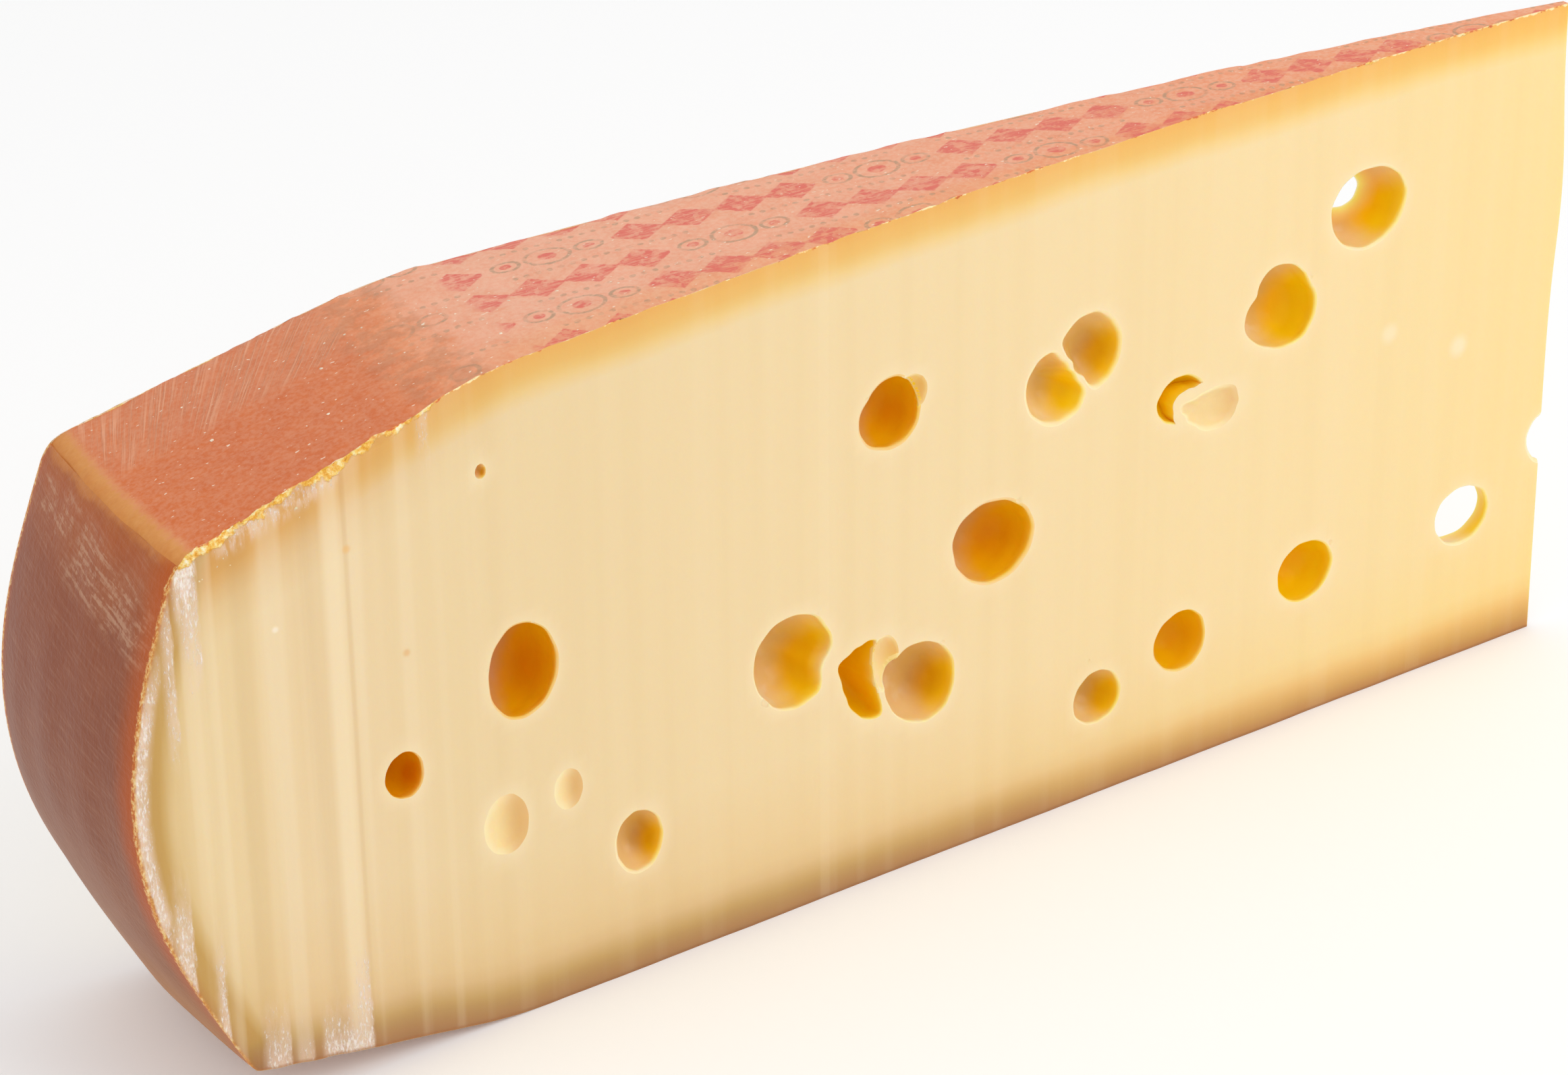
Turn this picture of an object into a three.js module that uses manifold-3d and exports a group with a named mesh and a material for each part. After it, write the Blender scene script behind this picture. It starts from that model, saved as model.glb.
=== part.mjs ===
// A wedge cut from a large wheel of hard cheese: rind on top, below and round the rim, two cut faces
// full of round eyes, and a thin upright tip where the cuts nearly meet at the wheel's middle.
// Millimetres, +Z up. The tip points along +X, the rim along -X, and the front cut face looks to -Y.
import * as THREE from 'three';
import { mergeVertices } from 'three/addons/utils/BufferGeometryUtils.js';
import Module from 'manifold-3d';

const wasm = await Module();
wasm.setup();

// The wheel
const WHEEL_RADIUS = 440.2;        // middle of the wheel to the worn edge between top rind and rim
const CENTRE_HEIGHT = 191;         // height in the middle of the wheel
const DOME_DROP = 25;              // how far the gently domed top falls by the rim
const SHOULDER_RADIUS = 357;       // where the top starts to slope down to the rim
const SHOULDER_SLOPE = 0.2;        // extra fall of the shoulder, mm for each mm outwards
const BASE_RADIUS = 360;           // the underside is flat inside this radius
const BASE_SLOPE = 0.165;          // rise of the underside beyond it, mm for each mm outwards
const KNEE = 12;                   // half the length over which either slope begins
const BASE_CORNER_RADIUS = 432.5;  // lower edge of the rim at the front cut
const RIM_BULGE = 19.8;            // how far the rim swells out past the line between its two edges
const BACK_SWELL = 3.5;            // the lower rim stands out this much more at the back cut
const WORN_TOP = 6;                // size of the worn edge above the rim
const WORN_BASE = 3;               // size of the worn edge below the rim

// The cuts
const WEDGE_ANGLE = THREE.MathUtils.degToRad(10.54);
const TIP_RADIUS = 12.2;           // the tip edge stands this far from the middle of the wheel
const TIP_BELLY = 2.5;             // the tip edge leans out this much
const TIP_BELLY_HEIGHT = 138;      // at this height
const TIP_BELLY_SPREAD = 26;       // over this height up and down

// Fineness of the solid
const TOP_STEPS = 16;
const RIM_STEPS = 15;
const CORNER_STEPS = 3;
const TIP_STEPS = 8;
const TURN_STEPS = 6;

// Eyes in a cut face: distance from the wheel's middle and height of the centre, half the width and half
// the height of the opening, depth of the bubble, how far its centre is sunk below the face as a part of
// that depth, and tilt in degrees.
const eye = (radius, height, wide, tall, deep, sunk, tilt = 0) => ({ radius, height, wide, tall, deep, sunk, tilt });

const FRONT_EYES = [
  eye(360.9, 149.3, 1.5, 1.9, 3, 0.2),
  eye(352.7, 94.7, 9.8, 12.5, 12, 0.45),
  eye(386.6, 77.4, 5.1, 6.2, 8, 0.5),
  eye(359.7, 54.7, 6.3, 8.6, 9, -0.7),
  eye(341.9, 58.5, 4.1, 5.5, 7, -0.75),
  eye(322, 36.9, 7.2, 8.9, 8.5, 0.05),
  eye(243, 131.8, 9.6, 9.7, 10.5, 0.4),
  eye(231, 139.5, 4.5, 5, 6, -0.6),
  eye(210.6, 86.8, 13.2, 11.1, 13, 0.3),
  eye(113.5, 127.7, 12.4, 11, 11, 0.25, -25),
  eye(108, 131, 9, 8.5, 9, 0.3),
  eye(83.2, 148.5, 13.6, 11.5, 13.2, 0.25),
  eye(41.8, 45, 10.3, 8.8, 12, 0.55),
  eye(101.3, 45.1, 10.2, 9.1, 9.5, 0.3),
  eye(146.2, 37.4, 9.3, 9.2, 10, 0.25),
  eye(175.3, 29.6, 8.2, 8, 8.5, 0.2),
];

// Pairs of bubbles in the front face that grew against each other
const SEPTUM = 1.3;                // thickness of the wall left between two bubbles
const DENTED_EYE = eye(273.8, 71.5, 12.5, 13, 12.5, 0.15);
const DENT = eye(260, 66.5, 8.5, 7.5, 9, 0);
const POINTED_EYE = eye(251, 58.5, 11.5, 11.5, 12, 0.3);
const POINTED_SHIFT = 2.6;         // the pointed eye lies between two bubbles this far up and down
const ROUND_NEIGHBOUR = eye(233.7, 53, 10.7, 11.6, 12, 0.1);
const CRESCENT_EYE = eye(147.2, 108, 8.2, 8, 8, 0.3);
const DISH_NEIGHBOUR = eye(138.1, 103.2, 10.4, 8, 10, -0.55);
const TWIN_LOW = eye(189.2, 123.2, 10.4, 11, 11, 0.12);
const TWIN_HIGH = eye(179.6, 132.5, 10.6, 11.2, 11, 0.12);

// The bite that an eye beside the tip edge leaves in it
const TIP_BITE = eye(8.2, 61, 9.2, 8.3, 12, 0.1);

const BACK_EYES = [
  eye(404, 118, 6.5, 8.5, 9, 0.2),
  eye(386, 54, 9, 11, 11, 0.3),
  eye(352, 138, 10.5, 12, 12, 0.35),
  eye(331, 86, 5.5, 6.5, 7, -0.5),
  eye(308, 44, 9.5, 10.5, 11, 0.25),
  eye(296, 112, 12.5, 12, 12, 0.3),
  eye(262, 150, 8, 8.5, 9, 0.1),
  eye(247, 96, 4, 4.5, 6, -0.6),
  eye(226, 38, 8, 7.5, 9, 0.2),
  eye(205, 158, 9, 8.5, 9, 0.25),
  eye(192, 60, 9.5, 8.5, 10, 0.15),
  eye(158, 76, 6, 6, 7, -0.3),
  eye(140, 148, 7.5, 7, 8, 0.1),
  eye(118, 84, 6.5, 6, 6.5, 0.1),
  eye(72, 100, 5, 4.5, 5, -0.2),
];

// Upright knife marks: distance from the middle, radius of the rounded groove and its depth
const KNIFE_MARKS = [
  { radius: 399.7, round: 2.4, depth: 0.7 },
  { radius: 408.5, round: 14, depth: 0.5 },
  { radius: 418.5, round: 18, depth: 0.6 },
  { radius: 428, round: 12, depth: 0.5 },
  { radius: 436, round: 8, depth: 0.6 },
];
const BACK_MARKS = KNIFE_MARKS.slice(0, 2);

// Crumbled edge between the top rind and a cut face
const CRUMB_FROM = 384;
const CRUMB_TO = 437;
const FRONT_CRUMBS = 24;
const BACK_CRUMBS = 12;
const CRUMB_SIZE = 2.1;
const CRUMB_SEED = 7;

// A straight run of zero that turns into a slope of one over a short rounded knee
function kneeRise(past) {
  if (past <= -KNEE) return 0;
  if (past >= KNEE) return past;
  return (past + KNEE) ** 2 / (4 * KNEE);
}

function topHeight(radius) {
  const dome = DOME_DROP * (radius / WHEEL_RADIUS) ** 2;
  return CENTRE_HEIGHT - dome - SHOULDER_SLOPE * kneeRise(radius - SHOULDER_RADIUS);
}

function baseHeight(radius) {
  return BASE_SLOPE * kneeRise(radius - BASE_RADIUS);
}

function tipRadius(height) {
  return TIP_RADIUS - TIP_BELLY * Math.exp(-(((height - TIP_BELLY_HEIGHT) / TIP_BELLY_SPREAD) ** 2));
}

// A curve that replaces a sharp corner between two points
function wornCorner(before, corner, after) {
  return new THREE.QuadraticBezierCurve(before, corner, after).getPoints(CORNER_STEPS);
}

// The wheel's section from the tip edge out to the rim and back, as (radius, height) points.
// turn is 0 at the front cut and 1 at the back cut.
function section(turn) {
  const swell = BACK_SWELL * Math.sin((turn * Math.PI) / 2);
  const topCorner = new THREE.Vector2(WHEEL_RADIUS, topHeight(WHEEL_RADIUS));
  const baseCorner = new THREE.Vector2(BASE_CORNER_RADIUS + swell, baseHeight(BASE_CORNER_RADIUS));
  const rimPoint = (share) => {
    const point = baseCorner.clone().lerp(topCorner, share);
    point.x += RIM_BULGE * Math.sin(Math.PI * share) + 0.4 * swell * Math.sin(Math.PI * share) * (1 - share);
    return point;
  };
  const rimLength = topCorner.y - baseCorner.y;
  const topEnd = WHEEL_RADIUS - WORN_TOP;
  const baseEnd = baseCorner.x - WORN_BASE;
  const points = [];
  for (let i = 0; i < TOP_STEPS; i += 1) {
    const radius = THREE.MathUtils.lerp(tipRadius(CENTRE_HEIGHT), topEnd, i / TOP_STEPS);
    points.push(new THREE.Vector2(radius, topHeight(radius)));
  }
  const rimTop = 1 - WORN_TOP / rimLength;
  const rimBase = WORN_BASE / rimLength;
  points.push(...wornCorner(new THREE.Vector2(topEnd, topHeight(topEnd)), topCorner, rimPoint(rimTop)));
  for (let i = 1; i < RIM_STEPS; i += 1) {
    points.push(rimPoint(THREE.MathUtils.lerp(rimTop, rimBase, i / RIM_STEPS)));
  }
  points.push(...wornCorner(rimPoint(rimBase), baseCorner, new THREE.Vector2(baseEnd, baseHeight(baseEnd))));
  for (let i = 1; i <= TOP_STEPS; i += 1) {
    const radius = THREE.MathUtils.lerp(baseEnd, tipRadius(0), i / TOP_STEPS);
    points.push(new THREE.Vector2(radius, baseHeight(radius)));
  }
  for (let i = 1; i < TIP_STEPS; i += 1) {
    const height = (CENTRE_HEIGHT * i) / TIP_STEPS;
    points.push(new THREE.Vector2(tipRadius(height), height));
  }
  return points;
}

// Where a point of the section stands at an angle from the wedge's middle plane
function placeAt(point, angle) {
  return [-point.x * Math.cos(angle), point.x * Math.sin(angle), point.y];
}

// The uncut wedge: sections turned from the front cut to the back cut, closed by a flat face at each end
function wedgeBlock() {
  const positions = [];
  const triangles = [];
  const outlines = [];
  for (let i = 0; i <= TURN_STEPS; i += 1) {
    const outline = section(i / TURN_STEPS);
    outlines.push(outline);
    const angle = THREE.MathUtils.lerp(-WEDGE_ANGLE / 2, WEDGE_ANGLE / 2, i / TURN_STEPS);
    outline.forEach((point) => positions.push(...placeAt(point, angle)));
  }
  const count = outlines[0].length;
  for (let i = 0; i < TURN_STEPS; i += 1) {
    for (let j = 0; j < count; j += 1) {
      const here = i * count + j;
      const next = i * count + ((j + 1) % count);
      triangles.push(here, here + count, next + count, here, next + count, next);
    }
  }
  const last = TURN_STEPS * count;
  for (const [a, b, c] of THREE.ShapeUtils.triangulateShape(outlines[0], [])) {
    triangles.push(a, c, b);
  }
  for (const [a, b, c] of THREE.ShapeUtils.triangulateShape(outlines[TURN_STEPS], [])) {
    triangles.push(last + a, last + b, last + c);
  }
  const geometry = new THREE.BufferGeometry();
  geometry.setAttribute('position', new THREE.Float32BufferAttribute(positions, 3));
  geometry.setIndex(triangles);
  return geometry;
}

function toSolid(geometry) {
  const bare = geometry.clone();
  bare.deleteAttribute('normal');
  bare.deleteAttribute('uv');
  const merged = mergeVertices(bare, 1e-4);
  const indexed = { numProp: 3, vertProperties: merged.attributes.position.array, triVerts: merged.index.array };
  const mesh = new wasm.Mesh({ ...indexed, triVerts: new Uint32Array(indexed.triVerts) });
  return new wasm.Manifold(mesh);
}

function toGeometry(solid) {
  const mesh = solid.getMesh();
  const geometry = new THREE.BufferGeometry();
  geometry.setAttribute('position', new THREE.Float32BufferAttribute(mesh.vertProperties, 3));
  geometry.setIndex(Array.from(mesh.triVerts));
  return geometry;
}

// Axes on a cut face: X outwards to the rim, Y up, Z out of the face. side is -1 in front and 1 behind.
function faceFrame(side, radius, height, depth) {
  const half = WEDGE_ANGLE / 2;
  const outwards = new THREE.Vector3(-Math.cos(half), side * Math.sin(half), 0);
  const up = new THREE.Vector3(0, 0, 1);
  const normal = new THREE.Vector3(Math.sin(half), side * Math.cos(half), 0);
  const place = outwards.clone().multiplyScalar(radius).addScaledVector(up, height);
  place.addScaledVector(normal, -depth);
  // side 1 would mirror the axes, so there X points inwards instead
  const across = side < 0 ? outwards.negate() : outwards;
  return new THREE.Matrix4().makeBasis(across, up, normal).setPosition(place);
}

// The bubble behind an eye, made larger all round by grow
function bubble(side, spec, grow = 0) {
  const { radius, height, wide, tall, deep, sunk, tilt } = spec;
  const opening = Math.sqrt(1 - sunk * sunk);
  const isLarge = Math.max(wide, tall) > 7;
  const sphere = new THREE.SphereGeometry(1, isLarge ? 16 : 12, isLarge ? 10 : 8);
  // the poles lie along the face's normal, so that the rings run round the opening
  sphere.rotateX(Math.PI / 2);
  sphere.scale(wide / opening + grow, tall / opening + grow, deep + grow);
  sphere.rotateZ(THREE.MathUtils.degToRad(tilt));
  sphere.applyMatrix4(faceFrame(side, radius, height, sunk * deep));
  return toSolid(sphere);
}

// The bubble of an eye, without what its neighbour's wall fills
function bubbleBeside(spec, neighbour) {
  return bubble(-1, spec).subtract(bubble(-1, neighbour, SEPTUM));
}

// Two bubbles with a thin flat wall where they meet
function twinBubbles(first, second) {
  const across = new THREE.Vector2(second.radius - first.radius, second.height - first.height);
  const wall = new THREE.BoxGeometry(SEPTUM, 60, 60);
  wall.rotateZ(Math.atan2(across.y, -across.x));
  const middleRadius = (first.radius + second.radius) / 2;
  const middleHeight = (first.height + second.height) / 2;
  wall.applyMatrix4(faceFrame(-1, middleRadius, middleHeight, 0));
  return bubble(-1, first).add(bubble(-1, second)).subtract(toSolid(wall));
}

// The overlap of two bubbles one above the other, pointed at both sides
function pointedBubble(spec) {
  const high = bubble(-1, { ...spec, height: spec.height + POINTED_SHIFT });
  const low = bubble(-1, { ...spec, height: spec.height - POINTED_SHIFT });
  return high.intersect(low);
}

function knifeMark(side, mark) {
  const groove = new THREE.CylinderGeometry(mark.round, mark.round, 3 * CENTRE_HEIGHT, 32);
  groove.applyMatrix4(faceFrame(side, mark.radius, 0, mark.depth - mark.round));
  return toSolid(groove);
}

// A repeatable stream of numbers from 0 to 1
function randomStream(seed) {
  let state = seed;
  return () => {
    state = (state * 48271) % 2147483647;
    return state / 2147483647;
  };
}

// Pits where the edge under the top rind has crumbled away
function crumbPits(side, count) {
  const random = randomStream(CRUMB_SEED + side);
  const pits = [];
  for (let i = 0; i < count; i += 1) {
    const radius = THREE.MathUtils.lerp(CRUMB_FROM, CRUMB_TO, (i + random()) / count);
    const size = CRUMB_SIZE * (0.6 + 0.8 * random());
    const stone = new THREE.IcosahedronGeometry(size, 0);
    stone.scale(1.5, 0.8, 0.7);
    stone.rotateZ(random() * 0.8 - 0.4);
    stone.applyMatrix4(faceFrame(side, radius, topHeight(radius) - 0.2 * size, -0.1 * size));
    pits.push(toSolid(stone));
  }
  return pits;
}

function cheeseWedge() {
  const cutters = [
    ...FRONT_EYES.map((spec) => bubble(-1, spec)),
    ...BACK_EYES.map((spec) => bubble(1, spec)),
    bubble(-1, TIP_BITE),
    bubble(-1, ROUND_NEIGHBOUR),
    bubble(-1, DISH_NEIGHBOUR),
    bubbleBeside(CRESCENT_EYE, DISH_NEIGHBOUR),
    bubble(-1, DENTED_EYE).subtract(bubble(-1, DENT)),
    pointedBubble(POINTED_EYE).subtract(bubble(-1, ROUND_NEIGHBOUR, SEPTUM)),
    twinBubbles(TWIN_LOW, TWIN_HIGH),
    ...KNIFE_MARKS.map((mark) => knifeMark(-1, mark)),
    ...BACK_MARKS.map((mark) => knifeMark(1, mark)),
    ...crumbPits(-1, FRONT_CRUMBS),
    ...crumbPits(1, BACK_CRUMBS),
  ];
  let solid = toSolid(wedgeBlock());
  for (const cutter of cutters) {
    solid = solid.subtract(cutter);
  }
  return toGeometry(solid);
}

const geometry = cheeseWedge();
geometry.computeBoundingBox();
const middle = geometry.boundingBox.getCenter(new THREE.Vector3());
geometry.translate(-middle.x, -middle.y, -geometry.boundingBox.min.z);
geometry.computeVertexNormals();

const cheese = new THREE.MeshStandardMaterial({ color: 0xf3d8a0, roughness: 0.45, metalness: 0 });
const wedge = new THREE.Mesh(geometry, cheese);
wedge.name = 'cheese_wedge';

const model = new THREE.Group();
model.add(wedge);

export default model;
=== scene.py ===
# A wedge cut from a large wheel of hard cheese: printed rind on top, brown rind round the rim, and cut
# faces of pale paste full of glossy amber eyes. Metres, +Z up. The tip points along +X, the rim along -X,
# and the front cut face looks to -Y.
import math
from collections import namedtuple

import bpy
import numpy as np
from mathutils import Matrix, Vector


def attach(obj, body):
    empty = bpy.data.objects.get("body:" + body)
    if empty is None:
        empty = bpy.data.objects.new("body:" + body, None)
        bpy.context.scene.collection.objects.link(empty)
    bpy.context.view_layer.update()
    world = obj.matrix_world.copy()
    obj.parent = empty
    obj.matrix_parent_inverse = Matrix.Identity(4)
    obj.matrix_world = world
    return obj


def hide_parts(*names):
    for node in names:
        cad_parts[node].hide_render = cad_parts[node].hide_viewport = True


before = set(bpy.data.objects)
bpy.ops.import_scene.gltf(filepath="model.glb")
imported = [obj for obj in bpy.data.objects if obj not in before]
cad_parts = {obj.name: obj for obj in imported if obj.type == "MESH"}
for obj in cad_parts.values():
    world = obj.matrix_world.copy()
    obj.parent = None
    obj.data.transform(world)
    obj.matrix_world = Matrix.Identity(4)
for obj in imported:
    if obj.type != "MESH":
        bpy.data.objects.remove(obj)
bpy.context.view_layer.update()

MM = 0.001

# The wheel, in millimetres
AXIS = np.array([233.9218, -0.1079, 0.0])      # the wheel's axis, from the middle of the wedge's box
WHEEL_RADIUS = 440.2
CENTRE_HEIGHT = 191.0
DOME_DROP = 25.0
SHOULDER_RADIUS = 357.0
SHOULDER_SLOPE = 0.2
BASE_RADIUS = 360.0
BASE_SLOPE = 0.165
KNEE = 12.0
BASE_CORNER_RADIUS = 432.5
RIM_BULGE = 19.8
RIM_REACH = 405.0          # the rim's bulge is spread over the cut face from this radius
RIM_TOP = 149.6
RIM_ARC = math.radians(1) * 450                # length of one degree of the rim
BACK_SWELL = 3.5
WORN_TOP = 6.0
WORN_BASE = 3.0
HALF_ANGLE = math.radians(10.54) / 2
TIP_RADIUS = 12.2
TIP_BELLY = 2.35
TIP_BELLY_HEIGHT = 138.0
TIP_BELLY_SPREAD = 26.0

# Crumbled edge between the top rind and the front cut
CRUMB_FROM = 383.0
CRUMB_TO = 437.0

# Upright knife marks: distance from the axis at the underside, roundness and depth
KNIFE_MARKS = [(400.2, 3, 0.12), (411, 14, 0.32), (421, 18, 0.36), (430, 12, 0.32), (438, 8, 0.36)]
LEAN = 0.019               # how far they lean towards the axis for each millimetre of height

# Depths of the slow waves: along the lip, over the top rind and over the rim
LIP_WAVES = 0.7
TOP_WAVES = 0.55
RIM_WAVES = 0.6


def place_in_scene(name, data):
    thing = bpy.data.objects.new(name, data)
    bpy.context.scene.collection.objects.link(thing)
    return thing


# --- Camera, light and floor ---------------------------------------------------------------------

CAMERA_AZIMUTH = -29.18
CAMERA_ELEVATION = 25.76
CAMERA_ROLL = -1.47
CAMERA_DISTANCE = 1.03931
CAMERA_TARGET = Vector((-0.008067, 0.033709, 0.07459))
CAMERA_LENS = 89.42
LIGHT_TARGET = Vector((0, 0, 0.09))
FLOOR_REACH = 6.0


def toward(azimuth, elevation):
    """The direction from the wedge to a point seen from there; azimuth 0 is straight in front."""
    around, above = math.radians(azimuth), math.radians(elevation)
    level = math.cos(above)
    return Vector((math.sin(around) * level, -math.cos(around) * level, math.sin(above)))


def make_camera():
    camera = place_in_scene("camera", bpy.data.cameras.new("camera"))
    camera.data.lens = CAMERA_LENS
    camera.data.sensor_width = 36
    camera.data.sensor_fit = "HORIZONTAL"
    camera.data.clip_start = 0.05
    back = toward(CAMERA_AZIMUTH, CAMERA_ELEVATION)
    around, roll = math.radians(CAMERA_AZIMUTH), math.radians(CAMERA_ROLL)
    right = Vector((math.cos(around), math.sin(around), 0))
    up = back.cross(right)
    rolled_right = right * math.cos(roll) + up * math.sin(roll)
    rolled_up = up * math.cos(roll) - right * math.sin(roll)
    turn = Matrix((rolled_right, rolled_up, back)).transposed().to_4x4()
    camera.matrix_world = Matrix.Translation(CAMERA_TARGET + back * CAMERA_DISTANCE) @ turn
    bpy.context.scene.camera = camera


def area_light(name, azimuth, elevation, distance, size, power):
    """A square soft light that looks at the middle of the wedge."""
    light = bpy.data.lights.new(name, "AREA")
    light.size = size
    light.energy = power
    away = toward(azimuth, elevation)
    turn = away.to_track_quat("Z", "Y").to_matrix().to_4x4()
    place_in_scene(name, light).matrix_world = Matrix.Translation(LIGHT_TARGET + away * distance) @ turn


def light_the_scene():
    scene = bpy.context.scene
    scene.world = bpy.data.worlds.new("studio")
    scene.world.use_nodes = True
    background = scene.world.node_tree.nodes["Background"]
    background.inputs["Color"].default_value = (1, 1, 1, 1)
    background.inputs["Strength"].default_value = 0.84
    area_light("key", 28, 42, 1.7, 0.9, 5.6)
    area_light("front_fill", -40, 20, 2.2, 1.6, 0.8)
    scene.view_settings.view_transform = "Standard"
    scene.view_settings.look = "None"


# --- Material helpers ----------------------------------------------------------------------------


def paint(red, green, blue):
    """A colour given by its screen values from 0 to 255, as linear light."""
    shares = [value / 255 for value in (red, green, blue)]
    return tuple(s / 12.92 if s <= 0.04045 else ((s + 0.055) / 1.055) ** 2.4 for s in shares) + (1.0,)


class Value:
    """What a node puts out, to be reckoned with like a plain number."""

    def __init__(self, socket):
        self.socket = socket
        self.tree = socket.id_data

    def calc(self, operation, *others):
        return put(self.tree, "ShaderNodeMath", dict(enumerate((self, *others))), operation=operation)

    def __add__(self, other):
        return self.calc("ADD", other)

    def __sub__(self, other):
        return self.calc("SUBTRACT", other)

    def __mul__(self, other):
        return self.calc("MULTIPLY", other)

    def __truediv__(self, other):
        return self.calc("DIVIDE", other)

    def __rsub__(self, other):
        return put(self.tree, "ShaderNodeMath", {0: other, 1: self}, operation="SUBTRACT")

    def __rtruediv__(self, other):
        return put(self.tree, "ShaderNodeMath", {0: other, 1: self}, operation="DIVIDE")

    def __abs__(self):
        return self.calc("ABSOLUTE")


def feed(socket, value):
    """Gives a socket what another node puts out, or a plain value."""
    if isinstance(value, Value):
        value.tree.links.new(value.socket, socket)
    else:
        socket.default_value = value


def put(tree, kind, inputs=None, output=0, **settings):
    """One output of a new node."""
    node = tree.nodes.new(kind)
    for name, value in settings.items():
        setattr(node, name, value)
    for name, value in (inputs or {}).items():
        feed(node.inputs[name], value)
    return Value(node.outputs[output])


def greatest(first, *others):
    for other in others:
        first = first.calc("MAXIMUM", other)
    return first


def mix(share, first, second, mode="MIX"):
    """second laid over first by share; plain colours are three screen values or four linear ones."""
    tree = next(value.tree for value in (share, first, second) if isinstance(value, Value))
    inputs = {0: share}
    for place, colour in ((6, first), (7, second)):
        is_screen = isinstance(colour, tuple) and len(colour) == 3
        inputs[place] = paint(*colour) if is_screen else colour
    return put(tree, "ShaderNodeMix", inputs, 2, data_type="RGBA", blend_type=mode)


def tint(share, colour, by):
    """colour multiplied by another one, by share."""
    return mix(share, colour, mix(1.0, colour, by, "MULTIPLY"))


def fade(value, low, high, start=0.0, end=1.0):
    """Goes softly from start, at low, to end, at high."""
    inputs = {"Value": value, "From Min": low, "From Max": high, "To Min": start, "To Max": end}
    return put(value.tree, "ShaderNodeMapRange", inputs, interpolation_type="SMOOTHSTEP")


def fall(value, low, high, start=1.0):
    """Goes softly from start, at low, to 0, at high."""
    return fade(value, low, high, start, 0.0)


def band(value, low, high, soft):
    """1 between low and high, and 0 further than soft outside them."""
    return fade(value, low - soft, low) * fall(value, high, high + soft)


def ramp(value, length, stops, colour=paint):
    """Colours along a distance: stops are (distance, red, green, blue), up to length."""
    shown = put(value.tree, "ShaderNodeValToRGB", {"Fac": value / length})
    elements = shown.socket.node.color_ramp.elements
    while len(elements) < len(stops):
        elements.new(1.0)
    for element, (place, *screen) in zip(elements, stops):
        element.position = place / length
        element.color = colour(*screen)
    return shown


def attributes(tree, *names):
    """The values that describe_surface gave to every point."""
    return [put(tree, "ShaderNodeAttribute", output="Fac", attribute_name=name) for name in names]


def split(vector):
    """The three parts of a vector."""
    first = put(vector.tree, "ShaderNodeSeparateXYZ", {0: vector})
    return [Value(socket) for socket in first.socket.node.outputs]


def pair(across, up):
    """A point of a plane."""
    return put(across.tree, "ShaderNodeCombineXYZ", {0: across, 1: up})


def length(across, up):
    """The distance of a point of a plane from its origin."""
    return put(across.tree, "ShaderNodeVectorMath", {0: pair(across, up)}, "Value", operation="LENGTH")


def stretched(place, *grain):
    """place with each axis divided by the size of the grain along it, in millimetres."""
    inputs = {0: place, 1: [1 / size for size in grain]}
    return put(place.tree, "ShaderNodeVectorMath", inputs, operation="MULTIPLY")


def noise(place, size, detail=2.0, rough=0.5):
    """Uneven values round 0.5 whose blots are about size millimetres across."""
    inputs = {"Vector": place, "Scale": 1 / size, "Detail": detail, "Roughness": rough}
    return put(place.tree, "ShaderNodeTexNoise", inputs)


def repeated(value, step):
    """Distance from the middle of the cell of a row of equal cells."""
    return (value / step).calc("FRACT") * step - step / 2


def finish(shader, colour, *reliefs):
    """Gives the shader its colour and its fine relief: reliefs are (height, depth in millimetres)."""
    feed(shader.inputs["Base Color"], colour)
    normal = None
    for height, depth in reliefs:
        inputs = {"Height": height, "Distance": depth * MM, "Strength": 1.0}
        if normal is not None:
            inputs["Normal"] = normal
        normal = put(height.tree, "ShaderNodeBump", inputs)
        feed(shader.inputs["Normal"], normal)


def new_group(name, inputs, outputs):
    """A shader group: inputs are (name, kind, value) and outputs (name, kind)."""
    tree = bpy.data.node_groups.new(name, "ShaderNodeTree")
    for label, kind, value in inputs:
        socket = tree.interface.new_socket(name=label, in_out="INPUT", socket_type="NodeSocket" + kind)
        socket.default_value = value
    for label, kind in outputs:
        tree.interface.new_socket(name=label, in_out="OUTPUT", socket_type="NodeSocket" + kind)
    given = [Value(socket) for socket in tree.nodes.new("NodeGroupInput").outputs[:len(inputs)]]
    return tree, given, tree.nodes.new("NodeGroupOutput").inputs


def use(tree, group, **inputs):
    """All that a shader group puts out."""
    node = tree.nodes.new("ShaderNodeGroup")
    node.node_tree = bpy.data.node_groups[group]
    for name, value in inputs.items():
        feed(node.inputs[name], value)
    return [Value(socket) for socket in node.outputs]


def make_wheel_place():
    """Where a point is on the wheel: millimetres from the axis, and the radius, angle and height."""
    outputs = [("Place", "Vector"), ("Radius", "Float"), ("Angle", "Float"), ("Height", "Float")]
    tree, _, out = new_group("wheel_place", [], outputs)
    inputs = {0: put(tree, "ShaderNodeTexCoord", output="Object"), 1: [1 / MM] * 3, 2: -AXIS}
    place = put(tree, "ShaderNodeVectorMath", inputs, operation="MULTIPLY_ADD")
    along, across, height = split(place)
    inwards = along * -1.0
    radius = (inwards * inwards + across * across).calc("SQRT")
    angle = across.calc("ARCTAN2", inwards).calc("DEGREES")
    for socket, value in zip(out, (place, radius, angle, height)):
        feed(socket, value)


def make_mottle():
    """Soft blots with a finer grain in them, as a mask from 0 to 1."""
    inputs = [("Place", "Vector", (0, 0, 0)), ("Size", "Float", 10.0), ("Sharpness", "Float", 0.5)]
    tree, (place, size, sharpness), out = new_group("mottle", inputs, [("Mask", "Float")])
    inputs = {0: noise(place, size, 4.0, 0.62) - 0.5, 1: sharpness * 8.0 + 1.0, 2: 0.5}
    feed(out["Mask"], put(tree, "ShaderNodeMath", inputs, operation="MULTIPLY_ADD", use_clamp=True))


def mottle(place, size, sharpness):
    return use(place.tree, "mottle", Place=place, Size=size, Sharpness=sharpness)[0]


# --- Materials -----------------------------------------------------------------------------------

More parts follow.
